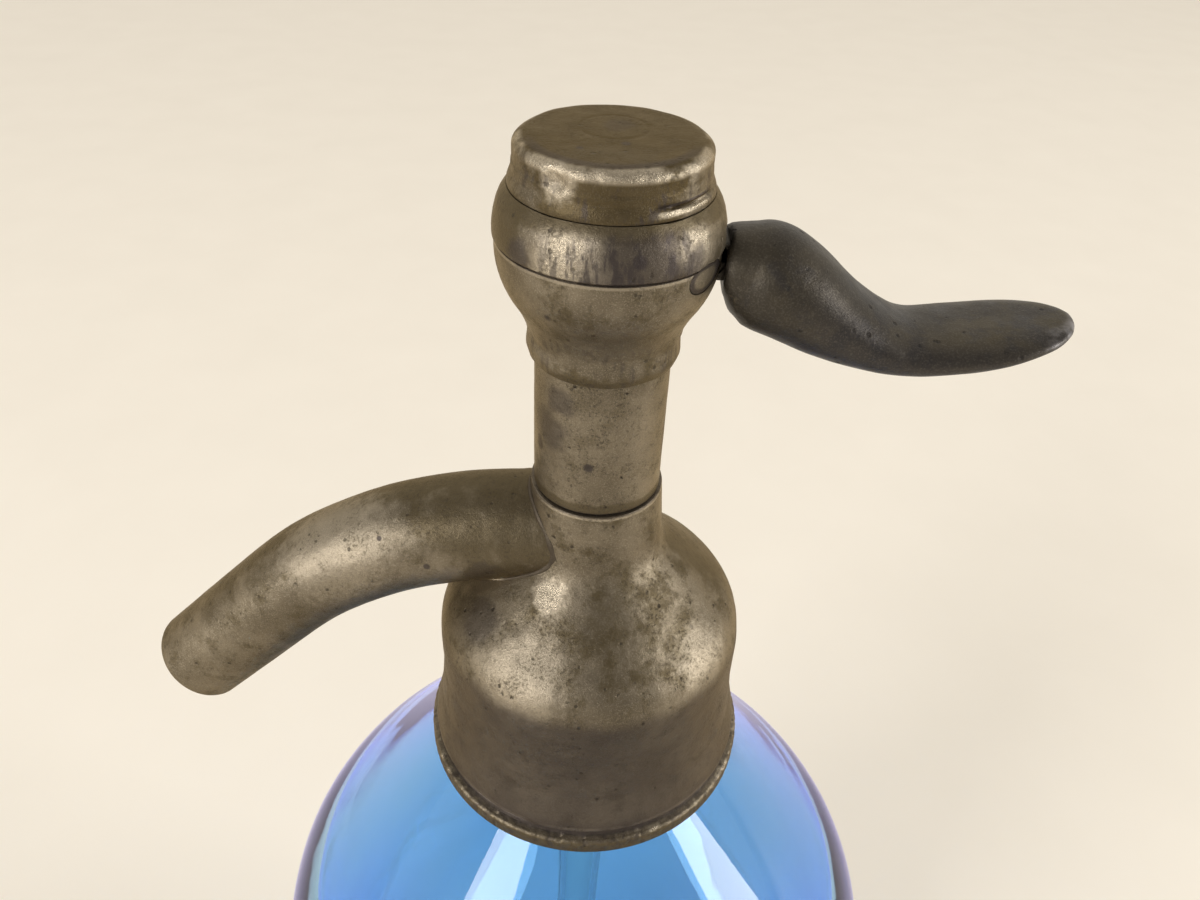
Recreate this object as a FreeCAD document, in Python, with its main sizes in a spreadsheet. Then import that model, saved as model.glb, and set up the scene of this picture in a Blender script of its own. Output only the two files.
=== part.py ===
"""A soda siphon with a glass bottle, a cast head, a curved spout and a thumb lever.

Millimetres. Z is up, the bottle stands on Z = 0 and its axis is the Z axis.
The lever points along +X and the spout along -X.
"""

import FreeCAD
import Part

import math
import os

import Sketcher

doc = FreeCAD.newDocument("siphon")

# Every size that can be set by itself: name, value, what it is.
DRIVING_SIZES = [
    ("bottle_radius", 52.5, "outside of the bottle's body"),
    ("glass_wall", 4.5, "wall of the body and shoulder"),
    ("bottle_heel_radius", 9.0, "rounding between body and base"),
    ("inner_heel_radius", 7.2, "rounding inside, between wall and floor"),
    ("bottle_foot_width", 9.5, "width of the flat ring it stands on"),
    ("bottle_punt", 3.5, "height of the hollow under the base"),
    ("punt_slope", 10.2, "width of the slope round that hollow"),
    ("bottle_floor", 10.0, "inside floor above the base plane"),
    ("shoulder_arc", 26.0, "rounding between body and shoulder"),
    ("shoulder_angle", 41.6, "lean of the shoulder from upright, degrees"),
    ("neck_length", 13.41, "neck between the shoulder's corner and the lip"),
    ("neck_radius", 14.4, "outside of the glass neck"),
    ("neck_wall", 4.4, "wall of the glass neck"),
    ("neck_arc", 5.0, "rounding between shoulder and neck"),
    ("inner_neck_arc", 10.0, "the same rounding inside"),
    ("lip_overhang", 2.2, "how far the glass lip stands out over the neck"),
    ("lip_height", 5.8, "height of the glass lip"),
    ("lip_round", 1.45, "rounded edges of the glass lip"),
    ("lip_top", 247.0, "top of the glass lip, the bottle's height"),
    ("tube_radius", 4.0, "outside of the dip tube"),
    ("tube_wall", 1.3, "wall of the dip tube"),
    ("tube_floor_gap", 4.0, "end of the dip tube above the inside floor"),
    ("tube_flange_overhang", 2.3, "flange at the top of the dip tube"),
    ("tube_flange_height", 1.2, "thickness of that flange"),
    ("tube_washer_height", 0.6, "rubber washer over the tube's flange"),
    ("gasket_height", 2.2, "rubber between glass lip and head"),
    ("gasket_depth", 8.0, "how far the gasket reaches down the neck"),
    ("gasket_overhang", 1.0, "how far the gasket stands out over the lip"),
    ("collar_gap", 0.2, "clearance round the split collar"),
    ("collar_wall", 3.8, "wall of the split collar"),
    ("collar_height", 10.2, "height of the split collar"),
    ("collar_split", 1.2, "gap between the two collar halves"),
    ("ring_wall", 1.6, "wall of the neck ring's threaded part"),
    ("ring_thread_length", 12.3, "length of the threaded part"),
    ("ring_flange_overhang", 0.75, "how far the ring's flange stands out under the bell"),
    ("ring_flange_height", 2.7, "thickness of that flange"),
    ("ring_flange_round", 0.7, "rounded edges of that flange"),
    ("ring_shelf_gap", 0.3, "clearance between ring and glass lip"),
    ("thread_gap", 0.05, "clearance in every screwed joint"),
    ("thread_relief", 0.4, "room over the end of the ring's thread"),
    ("bell_gap", 1.5, "groove between the ring's flange and the bell"),
    ("bell_foot_wall", 2.45, "wall of the bell at its lower edge"),
    ("bell_flare_wall", 1.25, "wall of the bell half way up the flare"),
    ("bell_wall", 0.75, "wall of the bell over the thread"),
    ("bell_flare_mid_rise", 5.9, "from the bell's lower edge half way up the flare"),
    ("bell_flare_top_rise", 6.2, "from there to the end of the flare"),
    ("bell_ceiling_rise", 1.85, "from the gasket's top to where the bell turns inwards"),
    ("bell_shoulder_arc", 9.55, "rounding of the bell's shoulder"),
    ("bell_slope", 45.0, "lean of the bell's slope from upright, degrees"),
    ("throat_radius", 8.85, "waist between bell and column"),
    ("throat_arc", 6.0, "rounding between slope and waist"),
    ("seam_radius", 8.3, "outside of the neck at the column's seam"),
    ("seam_rise", 7.059, "from the waist to the column's seam"),
    ("mouth_gap", 0.7, "clearance round the gasket in the bell"),
    ("chamber_wall", 1.6, "wall under the valve chamber"),
    ("passage_radius", 2.9, "way from the dip tube to the valve seat"),
    ("seat_height", 4.6, "height of the seat bush below its lip"),
    ("seat_lip_height", 0.8, "raised lip of the seat"),
    ("seat_lip_wall", 0.6, "wall of the seat's lip"),
    ("seat_gap", 0.1, "gap under the closed valve"),
    ("valve_washer_overlap", 0.4, "how far the rubber disc covers more than the lip"),
    ("valve_washer_height", 2.2, "thickness of that disc"),
    ("cup_wall", 0.7, "rim of the washer's cup"),
    ("cup_gap", 0.35, "room for the soda round the cup"),
    ("cup_depth", 1.1, "how deep the disc sits in its cup"),
    ("cup_floor", 1.9, "floor of the cup"),
    ("washer_nut_wall", 0.6, "wall of the nut under the rubber disc"),
    ("washer_nut_height", 1.8, "height of that nut"),
    ("stem_radius", 1.6, "valve stem"),
    ("stem_end", 0.3, "stem's end under its nut"),
    ("stem_shoulder_width", 0.7, "shoulder of the stem over the cup"),
    ("stem_shoulder_height", 2.0, "height of that shoulder"),
    ("running_gap", 0.05, "radial clearance of shafts in their holes"),
    ("column_radius", 7.93, "outside of the column"),
    ("column_height", 18.5, "column between its seam and the lever housing"),
    ("spigot_radius", 6.4, "threaded ends of the column"),
    ("lower_spigot", 3.0, "length of the column's lower thread"),
    ("upper_spigot", 5.8, "length of the column's upper thread"),
    ("packing_rise", 2.8, "packing's seat over the column's seam"),
    ("packing_width", 2.9, "width of the packing round the stem"),
    ("packing_ring_height", 2.5, "height of one packing ring"),
    ("packing_washer_height", 1.0, "washer over the packing"),
    ("gland_height", 5.5, "height of the gland nut"),
    ("gland_slot", 1.2, "slot across the gland nut"),
    ("finger_drop", 2.5, "finger below the pivot"),
    ("finger_knob", 1.5, "round end of the finger"),
    ("finger_width", 2.8, "finger from side to side"),
    ("finger_height", 1.8, "finger from top to bottom"),
    ("finger_gap", 0.3, "clearance over the finger's knob"),
    ("finger_play", 0.9, "clearance under the finger's knob"),
    ("finger_side_gap", 0.3, "clearance at each side of the finger"),
    ("yoke_cheek", 2.1, "yoke at each side of its window"),
    ("yoke_floor", 1.4, "yoke under its window"),
    ("yoke_stem_cover", 0.4, "stem's end below the window"),
    ("yoke_boss_wall", 1.3, "threaded boss under the yoke"),
    ("yoke_boss_height", 4.9, "boss and floor under the window"),
    ("yoke_flange_height", 1.6, "flange that carries the spring"),
    ("yoke_pip_height", 2.0, "pip that centres the spring"),
    ("lock_nut_wall", 1.5, "lock nut round the stem, at its corners"),
    ("lock_nut_height", 2.0, "height of that nut"),
    ("spring_wire", 0.5, "radius of the spring's wire"),
    ("spring_radius", 3.9, "mean radius of the spring"),
    ("spring_turns", 4.5, "turns of the spring"),
    ("spring_margin", 0.8, "flange outside and gap inside the spring"),
    ("housing_bottom_radius", 8.4, "lower edge of the lever housing"),
    ("housing_lip_radius", 8.75, "bead at the foot of the housing"),
    ("housing_lip_rise", 1.2, "height of that bead over the lower edge"),
    ("housing_waist_radius", 8.5, "waist over the bead"),
    ("housing_waist_rise", 1.9, "from the bead to that waist"),
    ("housing_turn_radius", 10.35, "where the housing's curve turns over"),
    ("housing_turn_rise", 4.1, "from the waist to that place"),
    ("housing_turn_arc", 14.0, "hollow curve below it"),
    ("housing_radius", 12.4, "widest part of the housing"),
    ("housing_wide_rise", 6.5, "from the turn of the curve to the widest part"),
    ("housing_belly_arc", 11.0, "full curve below the widest part"),
    ("housing_step", 0.22, "step of the upper band over the lower part"),
    ("housing_band_rise", 0.6, "from the widest part to the upper band"),
    ("housing_band_inset", 0.35, "how far the band draws in half way up"),
    ("housing_band_mid_rise", 3.0, "lower half of the band"),
    ("housing_band_arc", 9.0, "curve of the band's lower half"),
    ("housing_top_rise", 2.5, "upper half of the band"),
    ("housing_crown_arc", 5.0, "curve of the band's upper half"),
    ("cavity_margin", 1.0, "room for the yoke outside the column's thread"),
    ("cavity_gap", 0.2, "floor of that room over the column's end"),
    ("cap_play", 0.7, "clearance of the yoke's flange in the cap"),
    ("cap_plug_wall", 2.5, "wall of the cap's threaded plug"),
    ("cap_thread_length", 3.6, "length of that plug"),
    ("cap_gap", 0.1, "seam between cap and housing"),
    ("cap_foot_radius", 10.6, "lower edge of the cap"),
    ("cap_ledge", 0.2, "housing's top edge outside the cap"),
    ("cap_side_inset", 0.35, "cap's side inside its lower edge"),
    ("cap_foot_rise", 2.1, "sloping foot of the cap"),
    ("cap_side_rise", 2.8, "upright side of the cap"),
    ("cap_edge", 1.3, "rounded upper edge of the cap"),
    ("cap_roof", 1.6, "thickness of the cap's top"),
    ("pivot_depth", 2.5, "pivot inside the housing's widest part"),
    ("pivot_drop", 1.2, "pivot below the upper band"),
    ("pivot_radius", 1.6, "pivot pin"),
    ("pin_inset", 0.1, "pin's ends below the housing's surface"),
    ("tongue_width", 4.6, "lever's tongue through the slot"),
    ("tongue_boss_wall", 1.2, "tongue round the pin"),
    ("tongue_overlap", 4.1, "end of the tongue outside the housing, in the lever"),
    ("tongue_low", 3.0, "tongue below the pivot"),
    ("tongue_high", 2.8, "tongue above the pivot"),
    ("slot_gap", 0.2, "clearance each side of the tongue"),
    ("slot_swing", 2.6, "room for the tongue to swing down"),
    ("slot_margin", 0.7, "room over the tongue's boss"),
    ("slot_inset", 1.5, "cut inside the cavity's wall"),
    ("spout_drop", 8.9, "spout's root below the column's seam"),
    ("spout_straight", 7.0, "end of the spout's level part from the axis"),
    ("spout_bend", 51.0, "bend radius of the spout"),
    ("spout_angle", 44.9, "turn of the spout, degrees"),
    ("spout_end", 21.2, "straight end of the spout"),
    ("spout_bore", 4.8, "inside radius of the spout"),
    ("spout_root_wall", 2.62, "wall of the spout at its root"),
    ("spout_tip_wall", 2.15, "wall of the spout at its tip"),
    ("spigot_wall", 0.75, "wall of the spout's spigot in the head"),
    ("socket_step", 1.7, "end of the spigot outside the valve chamber"),
    ("port_radius", 4.2, "way from the chamber into the spout"),
    ("blind_start", 0.5, "where the spout's bar starts inside the head"),
    ("cut_margin", 1.0, "how far a cut runs past the end it opens"),
]

# The lever's sections: name, step outwards from the one before, drop below the
# pivot, half width, half thickness. The first step is from the housing's side.
LEVER_SECTIONS = [
    ("root", 1.4, 2.1, 5.0, 4.8),
    ("heel", 2.8, 2.6, 6.1, 5.8),
    ("bulge", 3.0, 4.0, 6.3, 5.6),
    ("slope", 4.4, 6.6, 6.2, 4.7),
    ("fall", 5.0, 8.8, 6.2, 3.6),
    ("waist", 5.0, 9.8, 6.4, 2.6),
    ("pad", 5.5, 9.1, 6.7, 2.2),
    ("thumb", 5.0, 8.0, 6.3, 1.8),
    ("nail", 3.8, 7.1, 4.9, 1.35),
    ("tip", 2.1, 6.5, 3.0, 0.95),
    ("end", 0.9, 6.2, 1.2, 0.55),
]

sheet = doc.addObject("Spreadsheet::Sheet", "sizes")


class Size:
    """A number together with the sheet expression that it comes from."""

    def __init__(self, value, text):
        self.value = float(value)
        self.text = text

    def __add__(self, other):
        other = as_size(other)
        return Size(self.value + other.value, f"({self.text} + {other.text})")

    def __sub__(self, other):
        other = as_size(other)
        return Size(self.value - other.value, f"({self.text} - {other.text})")

    def __mul__(self, other):
        other = as_size(other)
        return Size(self.value * other.value, f"({self.text} * {other.text})")

    def __truediv__(self, other):
        other = as_size(other)
        return Size(self.value / other.value, f"({self.text} / {other.text})")

    def __neg__(self):
        return Size(-self.value, f"(-{self.text})")


def as_size(number):
    return number if isinstance(number, Size) else Size(number, repr(float(number)))


def sine(angle):
    return Size(math.sin(math.radians(angle.value)), f"sin({angle.text})")


def cosine(angle):
    return Size(math.cos(math.radians(angle.value)), f"cos({angle.text})")


def tangent(angle):
    return Size(math.tan(math.radians(angle.value)), f"tan({angle.text})")


class Sizes:
    """The sheet's named cells, read as Size values."""

    def __init__(self):
        self.row = 0

    def add(self, name, value, meaning):
        self.row += 1
        sheet.set(f"A{self.row}", meaning)
        sheet.set(f"B{self.row}", str(value))
        sheet.setAlias(f"B{self.row}", name)
        setattr(self, name, Size(value, f"sizes.{name}"))

    def derive(self, name, result):
        """A cell worked out from other cells."""
        self.row += 1
        sheet.set(f"B{self.row}", "=" + result.text.replace("sizes.", ""))
        sheet.setAlias(f"B{self.row}", name)
        setattr(self, name, Size(result.value, f"sizes.{name}"))


size = Sizes()
for name, value, meaning in DRIVING_SIZES:
    size.add(name, value, meaning)

# Radii, from the bottle's neck outwards.
size.derive("bottle_foot_inner", size.bottle_radius - size.bottle_heel_radius - size.bottle_foot_width)
size.derive("punt_radius", size.bottle_foot_inner - size.punt_slope)
size.derive("neck_bore", size.neck_radius - size.neck_wall)
size.derive("lip_radius", size.neck_radius + size.lip_overhang)
size.derive("tube_bore", size.tube_radius - size.tube_wall)
size.derive("tube_flange_radius", size.tube_radius + size.tube_flange_overhang)
size.derive("gasket_radius", size.lip_radius + size.gasket_overhang)
size.derive("head_mouth_radius", size.gasket_radius + size.mouth_gap)
size.derive("collar_radius", size.neck_radius + size.collar_gap + size.collar_wall)
size.derive("ring_thread_radius", size.collar_radius + size.collar_gap + size.ring_wall)
size.derive("thread_bore", size.ring_thread_radius + size.thread_gap)
size.derive("bell_bottom_radius", size.thread_bore + size.bell_foot_wall)
size.derive("ring_flange_radius", size.bell_bottom_radius + size.ring_flange_overhang)
size.derive("bell_flare_mid_radius", size.thread_bore + size.bell_flare_wall)
size.derive("bell_radius", size.thread_bore + size.bell_wall)
size.derive("stem_bore", size.stem_radius + size.running_gap)
size.derive("stem_shoulder_radius", size.stem_radius + size.stem_shoulder_width)
size.derive("washer_nut_radius", size.stem_radius + size.washer_nut_wall)
size.derive("seat_lip_radius", size.passage_radius + size.seat_lip_wall)
size.derive("valve_washer_radius", size.seat_lip_radius + size.valve_washer_overlap)
size.derive("cup_bore", size.valve_washer_radius + size.thread_gap)
size.derive("cup_radius", size.cup_bore + size.cup_wall)
size.derive("chamber_radius", size.cup_radius + size.cup_gap)
size.derive("packing_bore", size.stem_bore + size.packing_width)
size.derive("yoke_window_width", size.finger_width + size.finger_side_gap * 2)
size.derive("yoke_radius", size.yoke_window_width / 2 + size.yoke_cheek)
size.derive("yoke_boss_radius", size.stem_radius + size.yoke_boss_wall)
size.derive("yoke_flange_radius", size.spring_radius + size.spring_wire + size.spring_margin)
size.derive("yoke_pip_radius", size.spring_radius - size.spring_wire - size.spring_margin)
size.derive("lock_nut_radius", size.stem_radius + size.lock_nut_wall)
size.derive("cavity_radius", size.spigot_radius + size.cavity_margin)
size.derive("cap_bore", size.yoke_flange_radius + size.cap_play)
size.derive("cap_thread_radius", size.cap_bore + size.cap_plug_wall)
size.derive("cap_side_radius", size.cap_foot_radius - size.cap_side_inset)
size.derive("housing_top_radius", size.cap_foot_radius + size.cap_ledge)
size.derive("housing_band_radius", size.housing_radius - size.housing_band_inset)
size.derive("spout_root_radius", size.spout_bore + size.spout_root_wall)
size.derive("spout_tip_radius", size.spout_bore + size.spout_tip_wall)
size.derive("spigot_socket", size.spout_bore + size.spigot_wall + size.running_gap)
size.derive("socket_depth", size.chamber_radius + size.socket_step)
size.derive("pivot_offset", size.housing_radius - size.pivot_depth)
size.derive("tongue_boss", size.pivot_radius + size.tongue_boss_wall)
size.derive("tongue_reach", size.housing_radius + size.tongue_overlap)
size.derive("slot_low", size.tongue_low + size.slot_swing)
size.derive("slot_high", size.tongue_boss + size.slot_margin)

# Levels, from the glass lip down to the shoulder.
size.derive("lip_under", size.lip_top - size.lip_height)
size.derive("neck_corner", size.lip_under - size.neck_length)
size.derive("ring_shelf", size.lip_under - size.collar_gap / 2 - size.collar_height)
size.derive("ring_bottom", size.ring_shelf - size.ring_flange_height)
size.derive("shoulder_reach", size.shoulder_arc * tangent(size.shoulder_angle / 2))
size.derive("shoulder_inner", size.bottle_radius - size.shoulder_reach * sine(size.shoulder_angle))
size.derive(
    "shoulder_upper",
    size.neck_corner - (size.shoulder_inner - size.neck_radius) / tangent(size.shoulder_angle),
)
size.derive(
    "shoulder_start",
    size.shoulder_upper - size.shoulder_reach - size.shoulder_reach * cosine(size.shoulder_angle),
)

# Levels, from the glass lip up through the head.
size.derive("head_ceiling", size.lip_top + size.gasket_height)
size.derive("tube_flange_top", size.head_ceiling + size.tube_flange_height)
size.derive("tube_pocket_top", size.tube_flange_top + size.tube_washer_height)
size.derive("chamber_floor", size.tube_pocket_top + size.chamber_wall)
size.derive("seat_top", size.chamber_floor + size.seat_height + size.seat_lip_height)
size.derive("bell_bottom", size.ring_shelf + size.bell_gap)
size.derive("bell_flare_mid", size.bell_bottom + size.bell_flare_mid_rise)
size.derive("bell_flare_top", size.bell_flare_mid + size.bell_flare_top_rise)
size.derive("bell_shoulder_start", size.head_ceiling + size.bell_ceiling_rise)
size.derive(
    "slope_start_radius",
    size.bell_radius - size.bell_shoulder_arc + size.bell_shoulder_arc * cosine(size.bell_slope),
)
size.derive(
    "slope_start", size.bell_shoulder_start + size.bell_shoulder_arc * sine(size.bell_slope)
)
size.derive(
    "slope_end_radius", size.throat_radius + size.throat_arc - size.throat_arc * cosine(size.bell_slope)
)
size.derive(
    "slope_end",
    size.slope_start + (size.slope_start_radius - size.slope_end_radius) / tangent(size.bell_slope),
)
size.derive("waist_level", size.slope_end + size.throat_arc * sine(size.bell_slope))
size.derive("seam_level", size.waist_level + size.seam_rise)
size.derive("spout_level", size.seam_level - size.spout_drop)
size.derive("washer_bottom", size.seat_top + size.seat_gap)
size.derive("washer_top", size.washer_bottom + size.valve_washer_height)
size.derive("cup_top", size.washer_top + size.cup_floor)
size.derive("packing_floor", size.seam_level + size.packing_rise)
size.derive(
    "gland_bottom", size.packing_floor + size.packing_ring_height * 2 + size.packing_washer_height
)

# Levels, from the column up to the cap.
size.derive("column_top", size.seam_level + size.column_height)
size.derive("cavity_floor", size.column_top + size.upper_spigot + size.cavity_gap)
size.derive("housing_lip_level", size.column_top + size.housing_lip_rise)
size.derive("housing_waist_level", size.housing_lip_level + size.housing_waist_rise)
size.derive("housing_turn_level", size.housing_waist_level + size.housing_turn_rise)
size.derive("housing_wide_level", size.housing_turn_level + size.housing_wide_rise)
size.derive("housing_band_level", size.housing_wide_level + size.housing_band_rise)
size.derive("housing_band_mid", size.housing_band_level + size.housing_band_mid_rise)
size.derive("housing_top", size.housing_band_mid + size.housing_top_rise)
size.derive("cap_bottom", size.housing_top + size.cap_gap)
size.derive("cap_side_level", size.cap_bottom + size.cap_foot_rise)
size.derive("total_height", size.cap_side_level + size.cap_side_rise)
size.derive("spring_top", size.total_height - size.cap_roof)
size.derive("pivot_level", size.housing_band_level - size.pivot_drop)
size.derive("finger_level", size.pivot_level - size.finger_drop)
size.derive("window_top", size.finger_level + size.finger_knob + size.finger_gap)
size.derive("yoke_bottom", size.finger_level - size.finger_knob - size.finger_play)
size.derive("stem_top", size.yoke_bottom - size.yoke_stem_cover)
size.derive("flange_top", size.window_top + size.yoke_flange_height)

lever_along = size.housing_radius
for name, step, drop, half_width, half_thickness in LEVER_SECTIONS:
    size.add(f"lever_{name}_step", step, f"from the section before to the lever's {name}")
    size.add(f"lever_{name}_drop", drop, f"lever's {name} below the pivot")
    size.add(f"lever_{name}_width", half_width, f"half width of the lever's {name}")
    size.add(f"lever_{name}_thickness", half_thickness, f"half thickness of the lever's {name}")
    lever_along = lever_along + getattr(size, f"lever_{name}_step")
    size.derive(f"lever_{name}_along", lever_along)
    lever_along = getattr(size, f"lever_{name}_along")
    size.derive(f"lever_{name}_level", size.pivot_level - getattr(size, f"lever_{name}_drop"))
doc.recompute()

sub_parts = []


def keep(label, thing):
    """Names a finished sub-part and puts it on the list that is written out."""
    thing.Label = label
    sub_parts.append(thing)
    return thing


def origin_plane(body, role):
    return next(plane for plane in body.Origin.OriginFeatures if plane.Role == role)


class Outline:
    """A closed outline in a sketch, whose corners and radii are bound to the sheet."""

    def __init__(self, body, name, role="XZ_Plane"):
        self.sketch = body.newObject("Sketcher::SketchObject", name)
        self.sketch.AttachmentSupport = [(origin_plane(body, role), "")]
        self.sketch.MapMode = "FlatFace"
        self.corners = []
        self.arcs = []

    def to(self, across, up, radius=None, centre_left=True):
        """Adds a corner. A radius makes the edge that arrives there an arc."""
        self.corners.append((as_size(across), as_size(up)))
        self.arcs.append(None if radius is None else (as_size(radius), centre_left))
        return self

    def arc_edge(self, start, end, radius, centre_left):
        chord = end - start
        middle = (start + end) * 0.5
        rise = math.sqrt(max(radius**2 - (chord.Length / 2) ** 2, 0.0))
        sideways = FreeCAD.Vector(-chord.y, chord.x, 0).normalize() * rise
        centre = middle + sideways if centre_left else middle - sideways
        first, last = (start, end) if centre_left else (end, start)
        circle = Part.Circle(centre, FreeCAD.Vector(0, 0, 1), radius)
        first_angle = math.atan2(first.y - centre.y, first.x - centre.x)
        last_angle = math.atan2(last.y - centre.y, last.x - centre.x)
        return Part.ArcOfCircle(circle, first_angle, last_angle)

    def place(self, edge, point, across, up):
        """Fixes one corner, on an axis where its coordinate is nought."""
        for kind, axis, coordinate in (("DistanceX", -2, across), ("DistanceY", -1, up)):
            if coordinate.text == "0.0":
                self.sketch.addConstraint(Sketcher.Constraint("PointOnObject", edge, point, axis))
                continue
            rule = Sketcher.Constraint(kind, -1, 1, edge, point, coordinate.value)
            number = self.sketch.addConstraint(rule)
            self.sketch.setExpression(f"Constraints[{number}]", coordinate.text)

    def close(self):
        """Draws the edges, joins them and binds them."""
        points = [FreeCAD.Vector(across.value, up.value, 0) for across, up in self.corners]
        first_points = []
        last_points = []
        for number, point in enumerate(points):
            start = points[number - 1]
            arc = self.arcs[number]
            if arc is None:
                self.sketch.addGeometry(Part.LineSegment(start, point))
                first_points.append(1)
                last_points.append(2)
                continue
            radius, centre_left = arc
            self.sketch.addGeometry(self.arc_edge(start, point, radius.value, centre_left))
            first_points.append(1 if centre_left else 2)
            last_points.append(2 if centre_left else 1)
        for number in range(len(points)):
            after = (number + 1) % len(points)
            join = Sketcher.Constraint(
                "Coincident", number, last_points[number], after, first_points[after]
            )
            self.sketch.addConstraint(join)
        for number, (across, up) in enumerate(self.corners):
            self.place(number, last_points[number], across, up)
        for number, arc in enumerate(self.arcs):
            if arc is not None:
                rule = Sketcher.Constraint("Radius", number, arc[0].value)
                bound = self.sketch.addConstraint(rule)
                self.sketch.setExpression(f"Constraints[{bound}]", arc[0].text)
        return self.sketch


def new_body(label):
    return doc.addObject("PartDesign::Body", label)


def turn(body, outline, angle=360.0):
    """Turns an outline round the Z axis, or half to each side of its plane."""
    turned_shape = body.newObject("PartDesign::Revolution", "turned")
    sketch = outline.close()
    turned_shape.Profile = sketch
    turned_shape.ReferenceAxis = (sketch, ["V_Axis"])
    turned_shape.Angle = angle
    turned_shape.Midplane = True
    sketch.Visibility = False
    body.Tip = turned_shape
    return turned_shape


def turned_ring(label, inner, outer, bottom, height):
    """A plain ring or bush, kept as a sub-part."""
    body = new_body(label)
    outline = Outline(body, "section")
    top = bottom + height
    outline.to(inner, bottom).to(outer, bottom).to(outer, top).to(inner, top)
    turn(body, outline)
    return keep(label, body)


def set_placement(thing, base, rotation=None):
    """Places a thing and binds the coordinates of its place."""
    place = FreeCAD.Vector(*[as_size(part).value for part in base])
    thing.Placement = FreeCAD.Placement(place, rotation or FreeCAD.Rotation())
    for axis, part in zip("xyz", base):
        if isinstance(part, Size):
            thing.setExpression(f"Placement.Base.{axis}", part.text)


def bind(thing, **values):
    for name, value in values.items():
        thing.setExpression(name, as_size(value).text)


def cut_cylinder(body, name, radius, length, base, rotation):
    """Takes a round hole out of a body."""
    hole = body.newObject("PartDesign::SubtractiveCylinder", name)
    bind(hole, Radius=radius, Height=length)
    set_placement(hole, base, rotation)
    body.Tip = hole
    return hole


def cut_box(body, name, length, width, height, base):
    """Takes a slot out of a body."""
    slot = body.newObject("PartDesign::SubtractiveBox", name)
    bind(slot, Length=length, Width=width, Height=height)
    set_placement(slot, base)
    body.Tip = slot
    return slot


TO_MINUS_X = FreeCAD.Rotation(FreeCAD.Vector(0, 1, 0), -90)
TO_PLUS_Y = FreeCAD.Rotation(FreeCAD.Vector(1, 0, 0), -90)

def make_bottle():
    body = new_body("bottle")
    wall = size.glass_wall
    lean = size.shoulder_angle
    inner_arc = size.shoulder_arc - wall
    inner_reach = inner_arc * tangent(lean / 2)
    inner_radius = size.bottle_radius - wall
    inner_high = (
        inner_radius - inner_reach * sine(lean),
        size.shoulder_start + inner_reach + inner_reach * cosine(lean),
    )
    neck_reach = size.neck_arc * tangent(lean / 2)
    bore_corner = inner_high[1] + (inner_high[0] - size.neck_bore) / tangent(lean)
    bore_reach = size.inner_neck_arc * tangent(lean / 2)
    heel = size.bottle_heel_radius
    inner_heel = size.inner_heel_radius
    outline = Outline(body, "section")
    outline.to(0, size.bottle_punt)
    outline.to(size.punt_radius, size.bottle_punt)
    outline.to(size.bottle_foot_inner, 0)
    outline.to(size.bottle_radius - heel, 0)
    outline.to(size.bottle_radius, heel, heel)
    outline.to(size.bottle_radius, size.shoulder_start)
    outline.to(size.shoulder_inner, size.shoulder_upper, size.shoulder_arc)
    outline.to(
        size.neck_radius + neck_reach * sine(lean), size.neck_corner - neck_reach * cosine(lean)
    )
    outline.to(size.neck_radius, size.neck_corner + neck_reach, size.neck_arc, False)
    outline.to(size.neck_radius, size.lip_under)
    outline.to(size.lip_radius - size.lip_round, size.lip_under)
    outline.to(size.lip_radius, size.lip_under + size.lip_round, size.lip_round)
    outline.to(size.lip_radius, size.lip_top - size.lip_round)
    outline.to(size.lip_radius - size.lip_round, size.lip_top, size.lip_round)
    outline.to(size.neck_bore, size.lip_top)
    outline.to(size.neck_bore, bore_corner + bore_reach)
    outline.to(
        size.neck_bore + bore_reach * sine(lean),
        bore_corner - bore_reach * cosine(lean),
        size.inner_neck_arc,
    )
    outline.to(*inner_high)
    outline.to(inner_radius, size.shoulder_start, inner_arc, False)
    outline.to(inner_radius, size.bottle_floor + inner_heel)
    outline.to(inner_radius - inner_heel, size.bottle_floor, inner_heel, False)
    outline.to(0, size.bottle_floor)
    turn(body, outline)
    keep("bottle", body)


def make_dip_tube():
    body = new_body("dip_tube")
    foot = size.bottle_floor + size.tube_floor_gap
    outline = Outline(body, "section")
    outline.to(size.tube_bore, foot).to(size.tube_radius, foot)
    outline.to(size.tube_radius, size.head_ceiling).to(size.tube_flange_radius, size.head_ceiling)
    outline.to(size.tube_flange_radius, size.tube_flange_top).to(size.tube_bore, size.tube_flange_top)
    turn(body, outline)
    keep("dip_tube", body)


def make_seals():
    body = new_body("neck_gasket")
    plug_radius = size.neck_bore - size.collar_gap
    plug_bottom = size.lip_top - size.gasket_depth
    hole = size.tube_radius + size.running_gap
    outline = Outline(body, "section")
    outline.to(hole, plug_bottom).to(plug_radius, plug_bottom)
    outline.to(plug_radius, size.lip_top).to(size.gasket_radius, size.lip_top)
    outline.to(size.gasket_radius, size.head_ceiling).to(hole, size.head_ceiling)
    turn(body, outline)
    keep("neck_gasket", body)
    turned_ring(
        "tube_washer",
        size.passage_radius,
        size.tube_flange_radius,
        size.tube_flange_top,
        size.tube_washer_height,
    )


def make_split_collar():
    """Two half rings that hold the ring under the glass lip."""
    inner = size.neck_radius + size.collar_gap
    for label, role_turn in (("split_collar_front", -90), ("split_collar_back", 90)):
        body = new_body(label)
        outline = Outline(body, "section")
        top = size.lip_under - size.collar_gap / 2
        outline.to(inner, size.ring_shelf).to(size.collar_radius, size.ring_shelf)
        outline.to(size.collar_radius, top).to(inner, top)
        gap_angle = math.degrees(size.collar_split.value / size.neck_radius.value)
        turn(body, outline, 180.0 - gap_angle)
        body.Placement = FreeCAD.Placement(
            FreeCAD.Vector(), FreeCAD.Rotation(FreeCAD.Vector(0, 0, 1), role_turn)
        )
        keep(label, body)


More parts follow.
